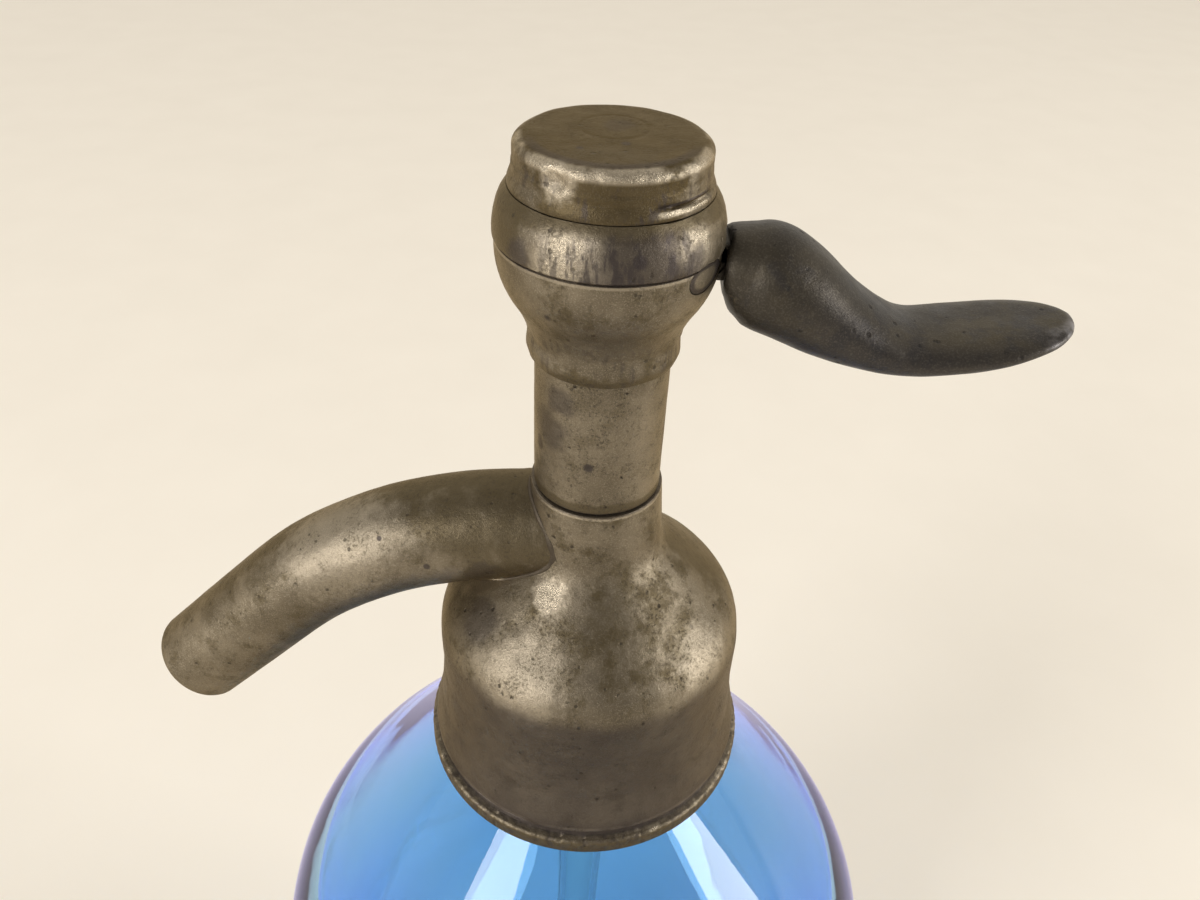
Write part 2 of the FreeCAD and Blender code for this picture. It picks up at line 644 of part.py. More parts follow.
def make_neck_ring():
    body = new_body("neck_ring")
    shelf_bore = size.lip_radius + size.ring_shelf_gap
    wall_bore = size.collar_radius + size.collar_gap
    thread_top = size.ring_shelf + size.ring_thread_length
    edge = size.ring_flange_round
    outline = Outline(body, "section")
    outline.to(shelf_bore, size.ring_bottom)
    outline.to(size.ring_flange_radius - edge, size.ring_bottom)
    outline.to(size.ring_flange_radius, size.ring_bottom + edge, edge)
    outline.to(size.ring_flange_radius, size.ring_shelf - edge)
    outline.to(size.ring_flange_radius - edge, size.ring_shelf, edge)
    outline.to(size.ring_thread_radius, size.ring_shelf)
    outline.to(size.ring_thread_radius, thread_top)
    outline.to(wall_bore, thread_top)
    outline.to(wall_bore, size.ring_shelf)
    outline.to(shelf_bore, size.ring_shelf)
    turn(body, outline)
    keep("neck_ring", body)


def bell_outside(outline):
    """The outside of the bell and neck, from the lower edge up to the seam."""
    outline.to(size.bell_bottom_radius, size.bell_bottom)
    outline.to(size.bell_flare_mid_radius, size.bell_flare_mid)
    outline.to(size.bell_radius, size.bell_flare_top)
    outline.to(size.bell_radius, size.bell_shoulder_start)
    outline.to(size.slope_start_radius, size.slope_start, size.bell_shoulder_arc)
    outline.to(size.slope_end_radius, size.slope_end)
    outline.to(size.throat_radius, size.waist_level, size.throat_arc, False)
    outline.to(size.seam_radius, size.seam_level)


def make_head_body():
    body = new_body("head_body")
    thread_bore = size.thread_bore
    thread_end = size.ring_shelf + size.ring_thread_length + size.thread_relief
    spigot_bore = size.spigot_radius + size.thread_gap
    spigot_floor = size.seam_level - size.lower_spigot
    tube_pocket = size.tube_flange_radius + size.collar_gap
    outline = Outline(body, "section")
    outline.to(thread_bore, size.bell_bottom)
    bell_outside(outline)
    outline.to(spigot_bore, size.seam_level)
    outline.to(spigot_bore, spigot_floor)
    outline.to(size.chamber_radius, spigot_floor)
    outline.to(size.chamber_radius, size.chamber_floor)
    outline.to(size.passage_radius, size.chamber_floor)
    outline.to(size.passage_radius, size.tube_pocket_top)
    outline.to(tube_pocket, size.tube_pocket_top)
    outline.to(tube_pocket, size.head_ceiling)
    outline.to(size.head_mouth_radius, size.head_ceiling)
    outline.to(size.head_mouth_radius, thread_end)
    outline.to(thread_bore, thread_end)
    turn(body, outline)
    socket_length = size.bell_radius
    cut_cylinder(
        body,
        "spout_socket",
        size.spigot_socket,
        socket_length,
        (-size.socket_depth, 0, size.spout_level),
        TO_MINUS_X,
    )
    cut_cylinder(
        body, "spout_port", size.port_radius, size.socket_depth, (0, 0, size.spout_level), TO_MINUS_X
    )
    keep("head_body", body)


def spout_path(bend, start):
    """A level run, a bend downwards and a straight end, as one wire from a start on -X."""
    angle = math.radians(size.spout_angle.value)
    level = size.spout_level.value
    straight = size.spout_straight.value
    end = size.spout_end.value

    def on_bend(turned):
        return FreeCAD.Vector(
            -straight - bend * math.sin(turned), 0, level - bend + bend * math.cos(turned)
        )

    first = FreeCAD.Vector(-start, 0, level)
    low = on_bend(angle)
    tip = low + FreeCAD.Vector(-math.cos(angle), 0, -math.sin(angle)) * end
    arc = Part.Arc(on_bend(0), on_bend(angle / 2), low)
    edges = [Part.LineSegment(first, on_bend(0)).toShape(), arc.toShape()]
    edges.append(Part.LineSegment(low, tip).toShape())
    return Part.Wire(edges), first, tip, FreeCAD.Vector(-math.cos(angle), 0, -math.sin(angle))


def swept_tube(start, start_radius, end_radius, longer=0.0):
    """A round bar along the spout's path, wider at one end than at the other."""
    path, first, tip, direction = spout_path(size.spout_bend.value, start)
    outward = FreeCAD.Vector(-1, 0, 0)
    shell = Part.BRepOffsetAPI.MakePipeShell(path)
    shell.add(Part.Wire([Part.Circle(first, outward, start_radius).toShape()]))
    shell.add(Part.Wire([Part.Circle(tip, direction, end_radius).toShape()]))
    shell.build()
    shell.makeSolid()
    solid = shell.shape()
    if longer > 0:
        solid = solid.fuse(Part.makeCylinder(end_radius, longer, tip, direction))
    return solid


def head_blank():
    """The head's outside as a full solid, which the spout's root is fitted to."""
    body = new_body("head_blank")
    outline = Outline(body, "section")
    outline.to(0, size.bell_bottom)
    bell_outside(outline)
    outline.to(0, size.seam_level)
    turn(body, outline)
    doc.recompute()
    return body.Shape.copy(), body


def make_spout():
    blank, blank_body = head_blank()
    blind = size.blind_start.value
    outside = swept_tube(blind, size.spout_root_radius.value, size.spout_tip_radius.value)
    root = outside.cut(blank)
    tube = max(root.Solids, key=lambda solid: solid.Volume)
    spigot_radius = size.spigot_socket.value - size.running_gap.value
    start = FreeCAD.Vector(-size.socket_depth.value, 0, size.spout_level.value)
    outward = FreeCAD.Vector(-1, 0, 0)
    reach = size.throat_radius.value + size.throat_arc.value - size.socket_depth.value
    spigot = Part.makeCylinder(spigot_radius, reach, start, outward)
    shape = tube.fuse(spigot.common(outside)).removeSplitter()
    margin = size.cut_margin.value
    bore = swept_tube(blind, size.spout_bore.value, size.spout_bore.value, margin)
    entry = Part.makeCylinder(size.spout_bore.value, margin, start, FreeCAD.Vector(1, 0, 0))
    shape = shape.cut(bore).cut(entry)
    feature = doc.addObject("Part::Feature", "spout")
    feature.Shape = max(shape.Solids, key=lambda solid: solid.Volume)
    keep("spout", feature)
    blank_body.removeObjectsFromDocument()
    doc.removeObject(blank_body.Name)


def make_valve():
    body = new_body("valve_seat")
    seat_radius = size.chamber_radius - size.thread_gap
    lip_foot = size.chamber_floor + size.seat_height
    outline = Outline(body, "section")
    outline.to(size.passage_radius, size.chamber_floor).to(seat_radius, size.chamber_floor)
    outline.to(seat_radius, lip_foot).to(size.seat_lip_radius, lip_foot)
    outline.to(size.seat_lip_radius, size.seat_top).to(size.passage_radius, size.seat_top)
    turn(body, outline)
    keep("valve_seat", body)

    turned_ring(
        "valve_washer",
        size.stem_bore,
        size.valve_washer_radius,
        size.washer_bottom,
        size.valve_washer_height,
    )
    nut_bottom = size.washer_bottom - size.washer_nut_height
    turned_ring(
        "washer_nut", size.stem_bore, size.washer_nut_radius, nut_bottom, size.washer_nut_height
    )

    cup = new_body("washer_cup")
    rim = size.washer_top - size.cup_depth
    outline = Outline(cup, "section")
    outline.to(size.stem_bore, size.washer_top).to(size.cup_bore, size.washer_top)
    outline.to(size.cup_bore, rim).to(size.cup_radius, rim)
    outline.to(size.cup_radius, size.cup_top).to(size.stem_bore, size.cup_top)
    turn(cup, outline)
    keep("washer_cup", cup)

    stem = new_body("valve_stem")
    shoulder_top = size.cup_top + size.stem_shoulder_height
    stem_foot = nut_bottom - size.stem_end
    outline = Outline(stem, "section")
    outline.to(0, stem_foot).to(size.stem_radius, stem_foot)
    outline.to(size.stem_radius, size.cup_top).to(size.stem_shoulder_radius, size.cup_top)
    outline.to(size.stem_shoulder_radius, shoulder_top).to(size.stem_radius, shoulder_top)
    outline.to(size.stem_radius, size.stem_top).to(0, size.stem_top)
    turn(stem, outline)
    keep("valve_stem", stem)


def make_column():
    body = new_body("column")
    foot = size.seam_level - size.lower_spigot
    top = size.column_top + size.upper_spigot
    outline = Outline(body, "section")
    outline.to(size.stem_bore, foot).to(size.spigot_radius, foot)
    outline.to(size.spigot_radius, size.seam_level).to(size.column_radius, size.seam_level)
    outline.to(size.column_radius, size.column_top).to(size.spigot_radius, size.column_top)
    outline.to(size.spigot_radius, top).to(size.packing_bore, top)
    outline.to(size.packing_bore, size.packing_floor).to(size.stem_bore, size.packing_floor)
    turn(body, outline)
    keep("column", body)


def make_packing():
    """Two soft rings, a washer and the gland nut that squeezes them."""
    packing_radius = size.packing_bore - size.thread_gap
    level = size.packing_floor
    for label in ("packing_ring_lower", "packing_ring_upper"):
        turned_ring(label, size.stem_bore, packing_radius, level, size.packing_ring_height)
        level = level + size.packing_ring_height
    turned_ring("packing_washer", size.stem_bore, packing_radius, level, size.packing_washer_height)
    nut = new_body("gland_nut")
    top = size.gland_bottom + size.gland_height
    outline = Outline(nut, "section")
    outline.to(size.stem_bore, size.gland_bottom).to(packing_radius, size.gland_bottom)
    outline.to(packing_radius, top).to(size.stem_bore, top)
    turn(nut, outline)
    cut_box(
        nut,
        "driver_slot",
        packing_radius * 2,
        size.gland_slot,
        size.gland_slot,
        (-packing_radius, -size.gland_slot / 2, top - size.gland_slot),
    )
    keep("gland_nut", nut)


def make_yoke():
    """The piece on the stem's top that the lever lifts and the spring pushes down."""
    body = new_body("stem_yoke")
    boss_foot = size.yoke_bottom - size.yoke_boss_height
    pip_top = size.flange_top + size.yoke_pip_height
    body_foot = size.yoke_bottom - size.yoke_floor
    outline = Outline(body, "section")
    outline.to(0, size.stem_top).to(size.stem_radius, size.stem_top)
    outline.to(size.stem_radius, boss_foot).to(size.yoke_boss_radius, boss_foot)
    outline.to(size.yoke_boss_radius, body_foot).to(size.yoke_radius, body_foot)
    outline.to(size.yoke_radius, size.window_top).to(size.yoke_flange_radius, size.window_top)
    outline.to(size.yoke_flange_radius, size.flange_top).to(size.yoke_pip_radius, size.flange_top)
    outline.to(size.yoke_pip_radius, pip_top).to(0, pip_top)
    turn(body, outline)
    cut_box(
        body,
        "lever_window",
        size.yoke_radius * 4,
        size.yoke_window_width,
        size.window_top - size.yoke_bottom,
        (-size.yoke_radius * 2, -size.yoke_window_width / 2, size.yoke_bottom),
    )
    keep("stem_yoke", body)

    blank = doc.addObject("Part::Prism", "lock_nut_blank")
    blank.Polygon = 6
    bind(blank, Circumradius=size.lock_nut_radius, Height=size.lock_nut_height)
    hole = doc.addObject("Part::Cylinder", "lock_nut_hole")
    bind(hole, Radius=size.stem_bore, Height=size.lock_nut_height)
    for piece in (blank, hole):
        set_placement(piece, (0, 0, boss_foot - size.lock_nut_height))
    nut = doc.addObject("Part::Cut", "stem_lock_nut")
    nut.Base = blank
    nut.Tool = hole
    keep("stem_lock_nut", nut)


def helix_point(radius, pitch, turned):
    return FreeCAD.Vector(
        radius * math.cos(turned), radius * math.sin(turned), pitch * turned / (2 * math.pi)
    )


def quarter_turns(radius, pitch, start_turn, end_turn, base):
    """A coil's centreline, as two tangent arcs for each quarter turn."""
    edges = []
    turned = start_turn
    lift = FreeCAD.Vector(0, 0, base)
    while turned < end_turn - 1e-9:
        after = min(turned + math.pi / 2, end_turn)
        start = helix_point(radius, pitch, turned) + lift
        end = helix_point(radius, pitch, after) + lift
        start_way = helix_way(radius, pitch, turned)
        end_way = helix_way(radius, pitch, after)
        joint = biarc_joint(start, start_way, end, end_way)
        edges.append(arc_from(start, start_way, joint))
        edges.append(arc_from(end, -end_way, joint))
        turned = after
    return edges


def helix_way(radius, pitch, turned):
    rise = pitch / (2 * math.pi)
    way = FreeCAD.Vector(-radius * math.sin(turned), radius * math.cos(turned), rise)
    return way.normalize()


def biarc_joint(start, start_way, end, end_way):
    """The point where two tangent arcs between the given ends meet."""
    gap = end - start
    ways = start_way + end_way
    square = 2 * (1 - start_way.dot(end_way))
    along = gap.dot(ways)
    reach = (-along + math.sqrt(along**2 + square * gap.dot(gap))) / square
    return (start + end) * 0.5 + (start_way - end_way) * (reach * 0.5)


def arc_from(start, way, end):
    """An arc that leaves its start along a given way."""
    gap = end - start
    side = gap - way * gap.dot(way)
    radius = gap.dot(gap) / (2 * side.Length)
    inward = side.normalize()
    centre = start + inward * radius
    middle = start + gap * 0.5
    return Part.Arc(start, centre + (middle - centre).normalize() * radius, end).toShape()


def make_spring():
    """One unbroken coil between the yoke's flange and the cap."""
    wire = size.spring_wire.value
    radius = size.spring_radius.value
    bottom = size.flange_top.value + wire + size.running_gap.value
    top = size.spring_top.value - wire - size.running_gap.value
    turns = size.spring_turns.value
    pitch = (top - bottom) / turns
    edges = quarter_turns(radius, pitch, 0.0, turns * 2 * math.pi, bottom)
    ordered = Part.Wire(Part.__sortEdges__(edges))
    first = helix_point(radius, pitch, 0.0) + FreeCAD.Vector(0, 0, bottom)
    section = Part.Circle(first, helix_way(radius, pitch, 0.0), wire)
    shell = Part.BRepOffsetAPI.MakePipeShell(ordered)
    shell.add(Part.Wire([section.toShape()]))
    shell.build()
    shell.makeSolid()
    feature = doc.addObject("Part::Feature", "spring")
    feature.Shape = shell.shape()
    keep("spring", feature)
    print("least gap of the spring's coil to itself:", round(pitch - 2 * wire, 3))


def housing_outside(outline, inset=Size(0, "0.0")):
    """The outside of the lever housing from its lower edge to its top."""
    lower_wide = size.housing_radius - size.housing_step
    outline.to(size.housing_bottom_radius - inset, size.column_top)
    outline.to(size.housing_lip_radius - inset, size.housing_lip_level)
    outline.to(size.housing_waist_radius - inset, size.housing_waist_level)
    outline.to(size.housing_turn_radius - inset, size.housing_turn_level, size.housing_turn_arc, False)
    outline.to(lower_wide - inset, size.housing_wide_level, size.housing_belly_arc)
    outline.to(lower_wide - inset, size.housing_band_level)
    outline.to(size.housing_radius - inset, size.housing_band_level)
    outline.to(size.housing_band_radius - inset, size.housing_band_mid, size.housing_band_arc)
    outline.to(size.housing_top_radius - inset, size.housing_top, size.housing_crown_arc)


def make_lever_housing():
    body = new_body("lever_housing")
    spigot_bore = size.spigot_radius + size.thread_gap
    plug_bore = size.cap_thread_radius + size.thread_gap
    plug_level = size.cap_bottom - size.cap_thread_length - size.collar_gap
    outline = Outline(body, "section")
    outline.to(spigot_bore, size.column_top)
    housing_outside(outline)
    outline.to(plug_bore, size.housing_top)
    outline.to(plug_bore, plug_level)
    outline.to(size.cavity_radius, plug_level)
    outline.to(size.cavity_radius, size.cavity_floor)
    outline.to(spigot_bore, size.cavity_floor)
    turn(body, outline)
    slot_width = size.tongue_width + size.slot_gap * 2
    cut_box(
        body,
        "lever_slot",
        size.housing_radius,
        slot_width,
        size.slot_low + size.slot_high,
        (size.cavity_radius - size.slot_inset, -slot_width / 2, size.pivot_level - size.slot_low),
    )
    cut_cylinder(
        body,
        "pivot_hole",
        size.pivot_radius,
        size.housing_radius * 2,
        (size.pivot_offset, -size.housing_radius, size.pivot_level),
        TO_PLUS_Y,
    )
    keep("lever_housing", body)


def make_top_cap():
    body = new_body("top_cap")
    plug_bottom = size.cap_bottom - size.cap_thread_length
    edge = size.cap_edge
    outline = Outline(body, "section")
    outline.to(size.cap_bore, plug_bottom).to(size.cap_thread_radius, plug_bottom)
    outline.to(size.cap_thread_radius, size.cap_bottom).to(size.cap_foot_radius, size.cap_bottom)
    outline.to(size.cap_side_radius, size.cap_side_level)
    outline.to(size.cap_side_radius, size.total_height - edge)
    outline.to(size.cap_side_radius - edge, size.total_height, edge)
    outline.to(0, size.total_height).to(0, size.spring_top).to(size.cap_bore, size.spring_top)
    turn(body, outline)
    keep("top_cap", body)


def make_pivot_pin():
    """A pin through the housing, filed flush with its round outside."""
    rod = doc.addObject("Part::Cylinder", "pivot_rod")
    bind(rod, Radius=size.pivot_radius, Height=size.housing_radius * 2)
    place = (size.pivot_offset, -size.housing_radius, size.pivot_level)
    set_placement(rod, place, TO_PLUS_Y)
    form = new_body("housing_form")
    outline = Outline(form, "section")
    outline.to(0, size.column_top)
    housing_outside(outline, size.pin_inset)
    outline.to(0, size.housing_top)
    turn(form, outline)
    pin = doc.addObject("Part::Common", "pivot_pin")
    pin.Base = rod
    pin.Tool = form
    keep("pivot_pin", pin)


def lever_station(number):
    """Where a section of the lever lies along X, and its height."""
    name = LEVER_SECTIONS[min(max(number, 0), len(LEVER_SECTIONS) - 1)][0]
    return getattr(size, f"lever_{name}_along"), getattr(size, f"lever_{name}_level")


def lever_tilt(number):
    """How far the lever's centreline rises at a section, in radians."""
    before = lever_station(number - 1)
    after = lever_station(number + 1)
    return math.atan2(after[1].value - before[1].value, after[0].value - before[0].value)


def make_lever():
    sections = []
    for number, (name, *_) in enumerate(LEVER_SECTIONS):
        section = doc.addObject("Part::Ellipse", f"lever_{name}")
        bind(
            section,
            MajorRadius=getattr(size, f"lever_{name}_width"),
            MinorRadius=getattr(size, f"lever_{name}_thickness"),
        )
        upright = FreeCAD.Rotation(FreeCAD.Vector(1, 1, 1), 120)
        tilt = FreeCAD.Rotation(FreeCAD.Vector(0, 1, 0), -math.degrees(lever_tilt(number)))
        along, level = lever_station(number)
        set_placement(section, (along, 0, level), tilt * upright)
        sections.append(section)
    arm = doc.addObject("Part::Loft", "lever_arm")
    arm.Sections = sections
    arm.Solid = True
    arm.Ruled = False

    tongue = doc.addObject("Part::Box", "lever_tongue")
    bind(
        tongue,
        Length=size.tongue_reach - size.pivot_offset,
        Width=size.tongue_width,
        Height=size.tongue_low + size.tongue_high,
    )
    set_placement(
        tongue, (size.pivot_offset, -size.tongue_width / 2, size.pivot_level - size.tongue_low)
    )
    boss = doc.addObject("Part::Cylinder", "lever_boss")
    bind(boss, Radius=size.tongue_boss, Height=size.tongue_width)
    set_placement(boss, (size.pivot_offset, -size.tongue_width / 2, size.pivot_level), TO_PLUS_Y)

    finger = doc.addObject("Part::Box", "lever_finger")
    bind(
        finger, Length=size.pivot_offset, Width=size.finger_width, Height=size.finger_height
    )
    set_placement(finger, (0, -size.finger_width / 2, size.finger_level - size.finger_height / 2))
    knob = doc.addObject("Part::Cylinder", "lever_knob")
    bind(knob, Radius=size.finger_knob, Height=size.finger_width)
    set_placement(knob, (0, -size.finger_width / 2, size.finger_level), TO_PLUS_Y)

    whole = doc.addObject("Part::MultiFuse", "lever_blank")
    whole.Shapes = [arm, tongue, boss, finger, knob]
    hole = doc.addObject("Part::Cylinder", "lever_hole")
    bind(hole, Radius=size.pivot_radius + size.running_gap, Height=size.tongue_width * 3)
    set_placement(
        hole, (size.pivot_offset, -size.tongue_width * 1.5, size.pivot_level), TO_PLUS_Y
    )
    lever = doc.addObject("Part::Cut", "lever")
    lever.Base = whole
    lever.Tool = hole
    keep("lever", lever)


make_bottle()
make_dip_tube()
make_seals()
make_split_collar()
make_neck_ring()
make_head_body()
make_spout()
make_valve()
make_column()
make_packing()
make_yoke()
make_spring()
make_lever_housing()
make_top_cap()
make_pivot_pin()
make_lever()

doc.recompute()
failed = [thing.Name for thing in doc.Objects if "Invalid" in thing.State or "Error" in thing.State]
if failed:
    raise RuntimeError(f"these objects failed: {failed}")
for thing in sub_parts:
    if thing.Shape.isNull() or not thing.Shape.isValid() or not thing.Shape.Solids:
        raise RuntimeError(f"{thing.Label} has no sound solid")

os.makedirs("parts", exist_ok=True)
for thing in sub_parts:
    thing.Shape.exportStep(f"parts/{thing.Label}.step")
    print(thing.Label, len(thing.Shape.Solids), round(thing.Shape.Volume, 1))
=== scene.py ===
import functools
import math

import bpy
from mathutils import Matrix, Vector, noise


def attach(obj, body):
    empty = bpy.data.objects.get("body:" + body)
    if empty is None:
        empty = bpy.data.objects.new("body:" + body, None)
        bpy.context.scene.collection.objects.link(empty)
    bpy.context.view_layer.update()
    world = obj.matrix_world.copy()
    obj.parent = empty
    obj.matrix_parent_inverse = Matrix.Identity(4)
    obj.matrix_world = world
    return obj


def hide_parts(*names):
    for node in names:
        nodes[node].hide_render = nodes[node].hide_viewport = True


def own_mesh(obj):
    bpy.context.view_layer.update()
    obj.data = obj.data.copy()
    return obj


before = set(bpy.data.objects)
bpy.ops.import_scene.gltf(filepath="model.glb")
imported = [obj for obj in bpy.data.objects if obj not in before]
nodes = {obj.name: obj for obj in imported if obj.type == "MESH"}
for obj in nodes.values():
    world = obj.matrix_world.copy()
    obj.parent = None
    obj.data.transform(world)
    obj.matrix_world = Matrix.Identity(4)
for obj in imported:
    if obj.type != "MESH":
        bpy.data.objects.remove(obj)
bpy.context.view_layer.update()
MM = 0.001

# Camera
# A short lens close to the head, looking down on it and rolled a little,
# aimed at the column so that the lever points right and the spout left.
camera_place = Vector((0.25, -93.0, 351.9)) * MM
look_down = math.radians(37.48)
camera_roll = math.radians(2.99)
picture_width = 1200
focal_pixels = 945
ahead = Vector((0, math.cos(look_down), -math.sin(look_down)))
level_right = Vector((1, 0, 0))
level_up = level_right.cross(ahead)
camera_right = level_right * math.cos(camera_roll) + level_up * math.sin(camera_roll)
camera_up = level_up * math.cos(camera_roll) - level_right * math.sin(camera_roll)
camera_data = bpy.data.cameras.new("camera")
camera_data.sensor_width = 36
camera_data.lens = camera_data.sensor_width * focal_pixels / picture_width
camera_data.clip_start = 10 * MM
camera = bpy.data.objects.new("camera", camera_data)
camera_turn = Matrix((camera_right, camera_up, -ahead)).transposed().to_4x4()
camera.matrix_world = Matrix.Translation(camera_place) @ camera_turn
bpy.context.scene.collection.objects.link(camera)
bpy.context.scene.camera = camera
bpy.context.scene.view_settings.view_transform = "Standard"


# Light
# A soft window in front on the left, a smaller one on the right, and a pale
# room that is dimmer above the camera.
class Wire:
    """An output socket of a finish, with arithmetic."""

    def __init__(self, finish, socket):
        self.finish = finish
        self.socket = socket

    def combined(self, operation, left, right):
        inputs = {0: left, 1: right}
        return self.finish.node("ShaderNodeMath", {"operation": operation}, inputs)

    def __add__(self, other):
        return self.combined("ADD", self, other)

    def __radd__(self, other):
        return self.combined("ADD", other, self)

    def __sub__(self, other):
        return self.combined("SUBTRACT", self, other)

    def __rsub__(self, other):
        return self.combined("SUBTRACT", other, self)

    def __mul__(self, other):
        return self.combined("MULTIPLY", self, other)

    def __pow__(self, other):
        return self.combined("POWER", self, other)

    def at_most(self, other):
        return self.combined("MINIMUM", self, other)

    def at_least(self, other):
        return self.combined("MAXIMUM", self, other)


class Finish:
    """A material, or a world, whose shader is wired up step by step."""

    def __init__(self, name, world=None):
        self.material = world or bpy.data.materials.new(name)
        self.material.use_nodes = True
        self.tree = self.material.node_tree
        self.surface = self.tree.nodes["Background" if world else "Principled BSDF"]
        self.place = self.node("ShaderNodeTexCoord", output="Generated" if world else "Object")

    def node(self, kind, settings=None, inputs=None, output=0):
        made = self.tree.nodes.new(kind)
        for key, value in (settings or {}).items():
            setattr(made, key, value)
        for key, value in (inputs or {}).items():
            self.feed(made.inputs[key], value)
        return Wire(self, made.outputs[output])

    def feed(self, socket, value):
        if isinstance(value, Wire):
            self.tree.links.new(value.socket, socket)
        else:
            socket.default_value = value

    def set(self, **values):
        for key, value in values.items():
            self.feed(self.surface.inputs[key.replace("_", " ").title()], value)

    def noise(self, scale, detail=3.0, roughness=0.5, stretch=None):
        place = self.place
        if stretch is not None:
            place = self.node("ShaderNodeMapping", inputs={"Vector": place, "Scale": stretch})
        inputs = {"Vector": place, "Scale": scale, "Detail": detail, "Roughness": roughness}
        return self.node("ShaderNodeTexNoise", inputs=inputs, output="Fac")

    def fade(self, value, start, end):
        """Nought at the start, one at the end, smooth between them."""
        settings = {"interpolation_type": "SMOOTHSTEP"}
        inputs = {"Value": value, "From Min": start, "From Max": end}
        return self.node("ShaderNodeMapRange", settings, inputs)

    def blend(self, share, first, second):
        """Mixes two colours."""
        inputs = {0: share, 6: first, 7: second}
        return self.node("ShaderNodeMix", {"data_type": "RGBA"}, inputs, output=2)

    def axis(self, number):
        return self.node("ShaderNodeSeparateXYZ", inputs={0: self.place}, output=number)

    def vector_math(self, operation, other, output):
        inputs = {0: self.place, 1: other}
        return self.node("ShaderNodeVectorMath", {"operation": operation}, inputs, output)

    def spot(self, centre, reach, ragged=0.0, grain=400.0):
        """One at a place given in millimetres, fading out over a reach."""
        away = self.vector_math("DISTANCE", Vector(centre) * MM, "Value")
        if ragged:
            away = away + (self.noise(grain, 4.0, 0.6) - 0.5) * (ragged * MM)
        return self.fade(away, reach * MM, reach * 0.45 * MM)

    def bump(self, height, distance, normal=None):
        inputs = {"Height": height, "Strength": 1.0, "Distance": distance * MM}
        if normal is not None:
            inputs["Normal"] = normal
        return self.node("ShaderNodeBump", inputs=inputs)


def colour(red, green, blue):
    return (red, green, blue, 1.0)


def add_soft_light(name, place, width, height, watts, tint):
    light_data = bpy.data.lights.new(name, "AREA")
    light_data.shape = "RECTANGLE"
    light_data.size = width
    light_data.size_y = height
    light_data.energy = watts
    light_data.color = tint
    light = bpy.data.objects.new(name, light_data)
    head_centre = Vector((0, 0, 0.27))
    aim = head_centre - Vector(place)
    light.rotation_euler = aim.to_track_quat("-Z", "Y").to_euler()
    light.location = place
    bpy.context.scene.collection.objects.link(light)


add_soft_light("left_window", (-1.5, -1.5, 1.0), 0.9, 1.2, 28.0, (1.0, 0.97, 0.93))
add_soft_light("right_window", (2.1, -0.45, 0.72), 0.75, 1.1, 23.0, (1.0, 0.98, 0.95))
world = bpy.data.worlds.new("room")
bpy.context.scene.world = world
room = Finish("room", world)
towards_camera = room.vector_math("DOT_PRODUCT", Vector((0, -0.8, 0.6)), "Value")
dim_side = room.fade(towards_camera, 0.0, 0.85)
room.set(
    color=room.blend(dim_side, colour(0.95, 0.9, 0.82), colour(0.36, 0.33, 0.29)),
    strength=1.0,
)


# Table
# A wide pale surface that the bottle stands on, with the faint mottle of a
# painted board.
bpy.ops.object.select_all(action="DESELECT")
bpy.ops.mesh.primitive_circle_add(vertices=96, radius=4.0, fill_type="NGON", location=(0, 0, 0))
table = bpy.context.object
table.name = "table"
board = Finish("pale_board")
board.set(
    base_color=board.blend(
        board.noise(18.0, 4.0), colour(0.90, 0.86, 0.79), colour(0.85, 0.81, 0.74)
    ),
    roughness=0.7,
)
seen = board.node("ShaderNodeLightPath", output="Is Camera Ray")
seen = seen + board.node("ShaderNodeLightPath", output="Is Glossy Ray")
seen = seen + board.node("ShaderNodeLightPath", output="Is Transmission Ray")
glow = board.blend(seen.at_most(1.0), colour(0, 0, 0), colour(0.11, 0.095, 0.07))
board.set(emission_color=glow, emission_strength=1.0)
table.data.materials.append(board.material)


# Bottle
# A thick bottle of blue glass with a sloping shoulder, a short neck and a
# rounded lip. It is blown in a mould, so its walls wander a little.
def arc_points(start, end, radius, centre_left):
    """Points of an arc in a section, without its start."""
    start = Vector(start)
    end = Vector(end)
    point_spacing = 0.8
    point_turn = 0.18
    chord = end - start
    rise = math.sqrt(max(radius**2 - (chord.length / 2) ** 2, 0.0))
    sideways = Vector((-chord.y, chord.x)).normalized() * rise
    centre = (start + end) / 2 + (sideways if centre_left else -sideways)
    first = math.atan2(start.y - centre.y, start.x - centre.x)
    last = math.atan2(end.y - centre.y, end.x - centre.x)
    sweep = (last - first) % (2 * math.pi)
    if not centre_left:
        sweep -= 2 * math.pi
    by_length = math.ceil(abs(sweep) * radius / point_spacing)
    by_turn = math.ceil(abs(sweep) / point_turn)
    count = max(3, by_length, by_turn)
    turns = [first + sweep * (step + 1) / count for step in range(count)]
    return [(centre.x + radius * math.cos(a), centre.y + radius * math.sin(a)) for a in turns]


def section(steps, spacing=1.5):
    """A section's points: each step is (radius, level) with, for an arc, its radius and side."""
    points = [steps[0][:2]]
    for step in steps[1:]:
        if len(step) > 2:
            points += arc_points(points[-1], step[:2], step[2], len(step) < 4 or step[3])
        else:
            start = Vector(points[-1])
            end = Vector(step)
            count = max(1, math.ceil((end - start).length / spacing))
            points += [tuple(start.lerp(end, (n + 1) / count)) for n in range(count)]
    return points


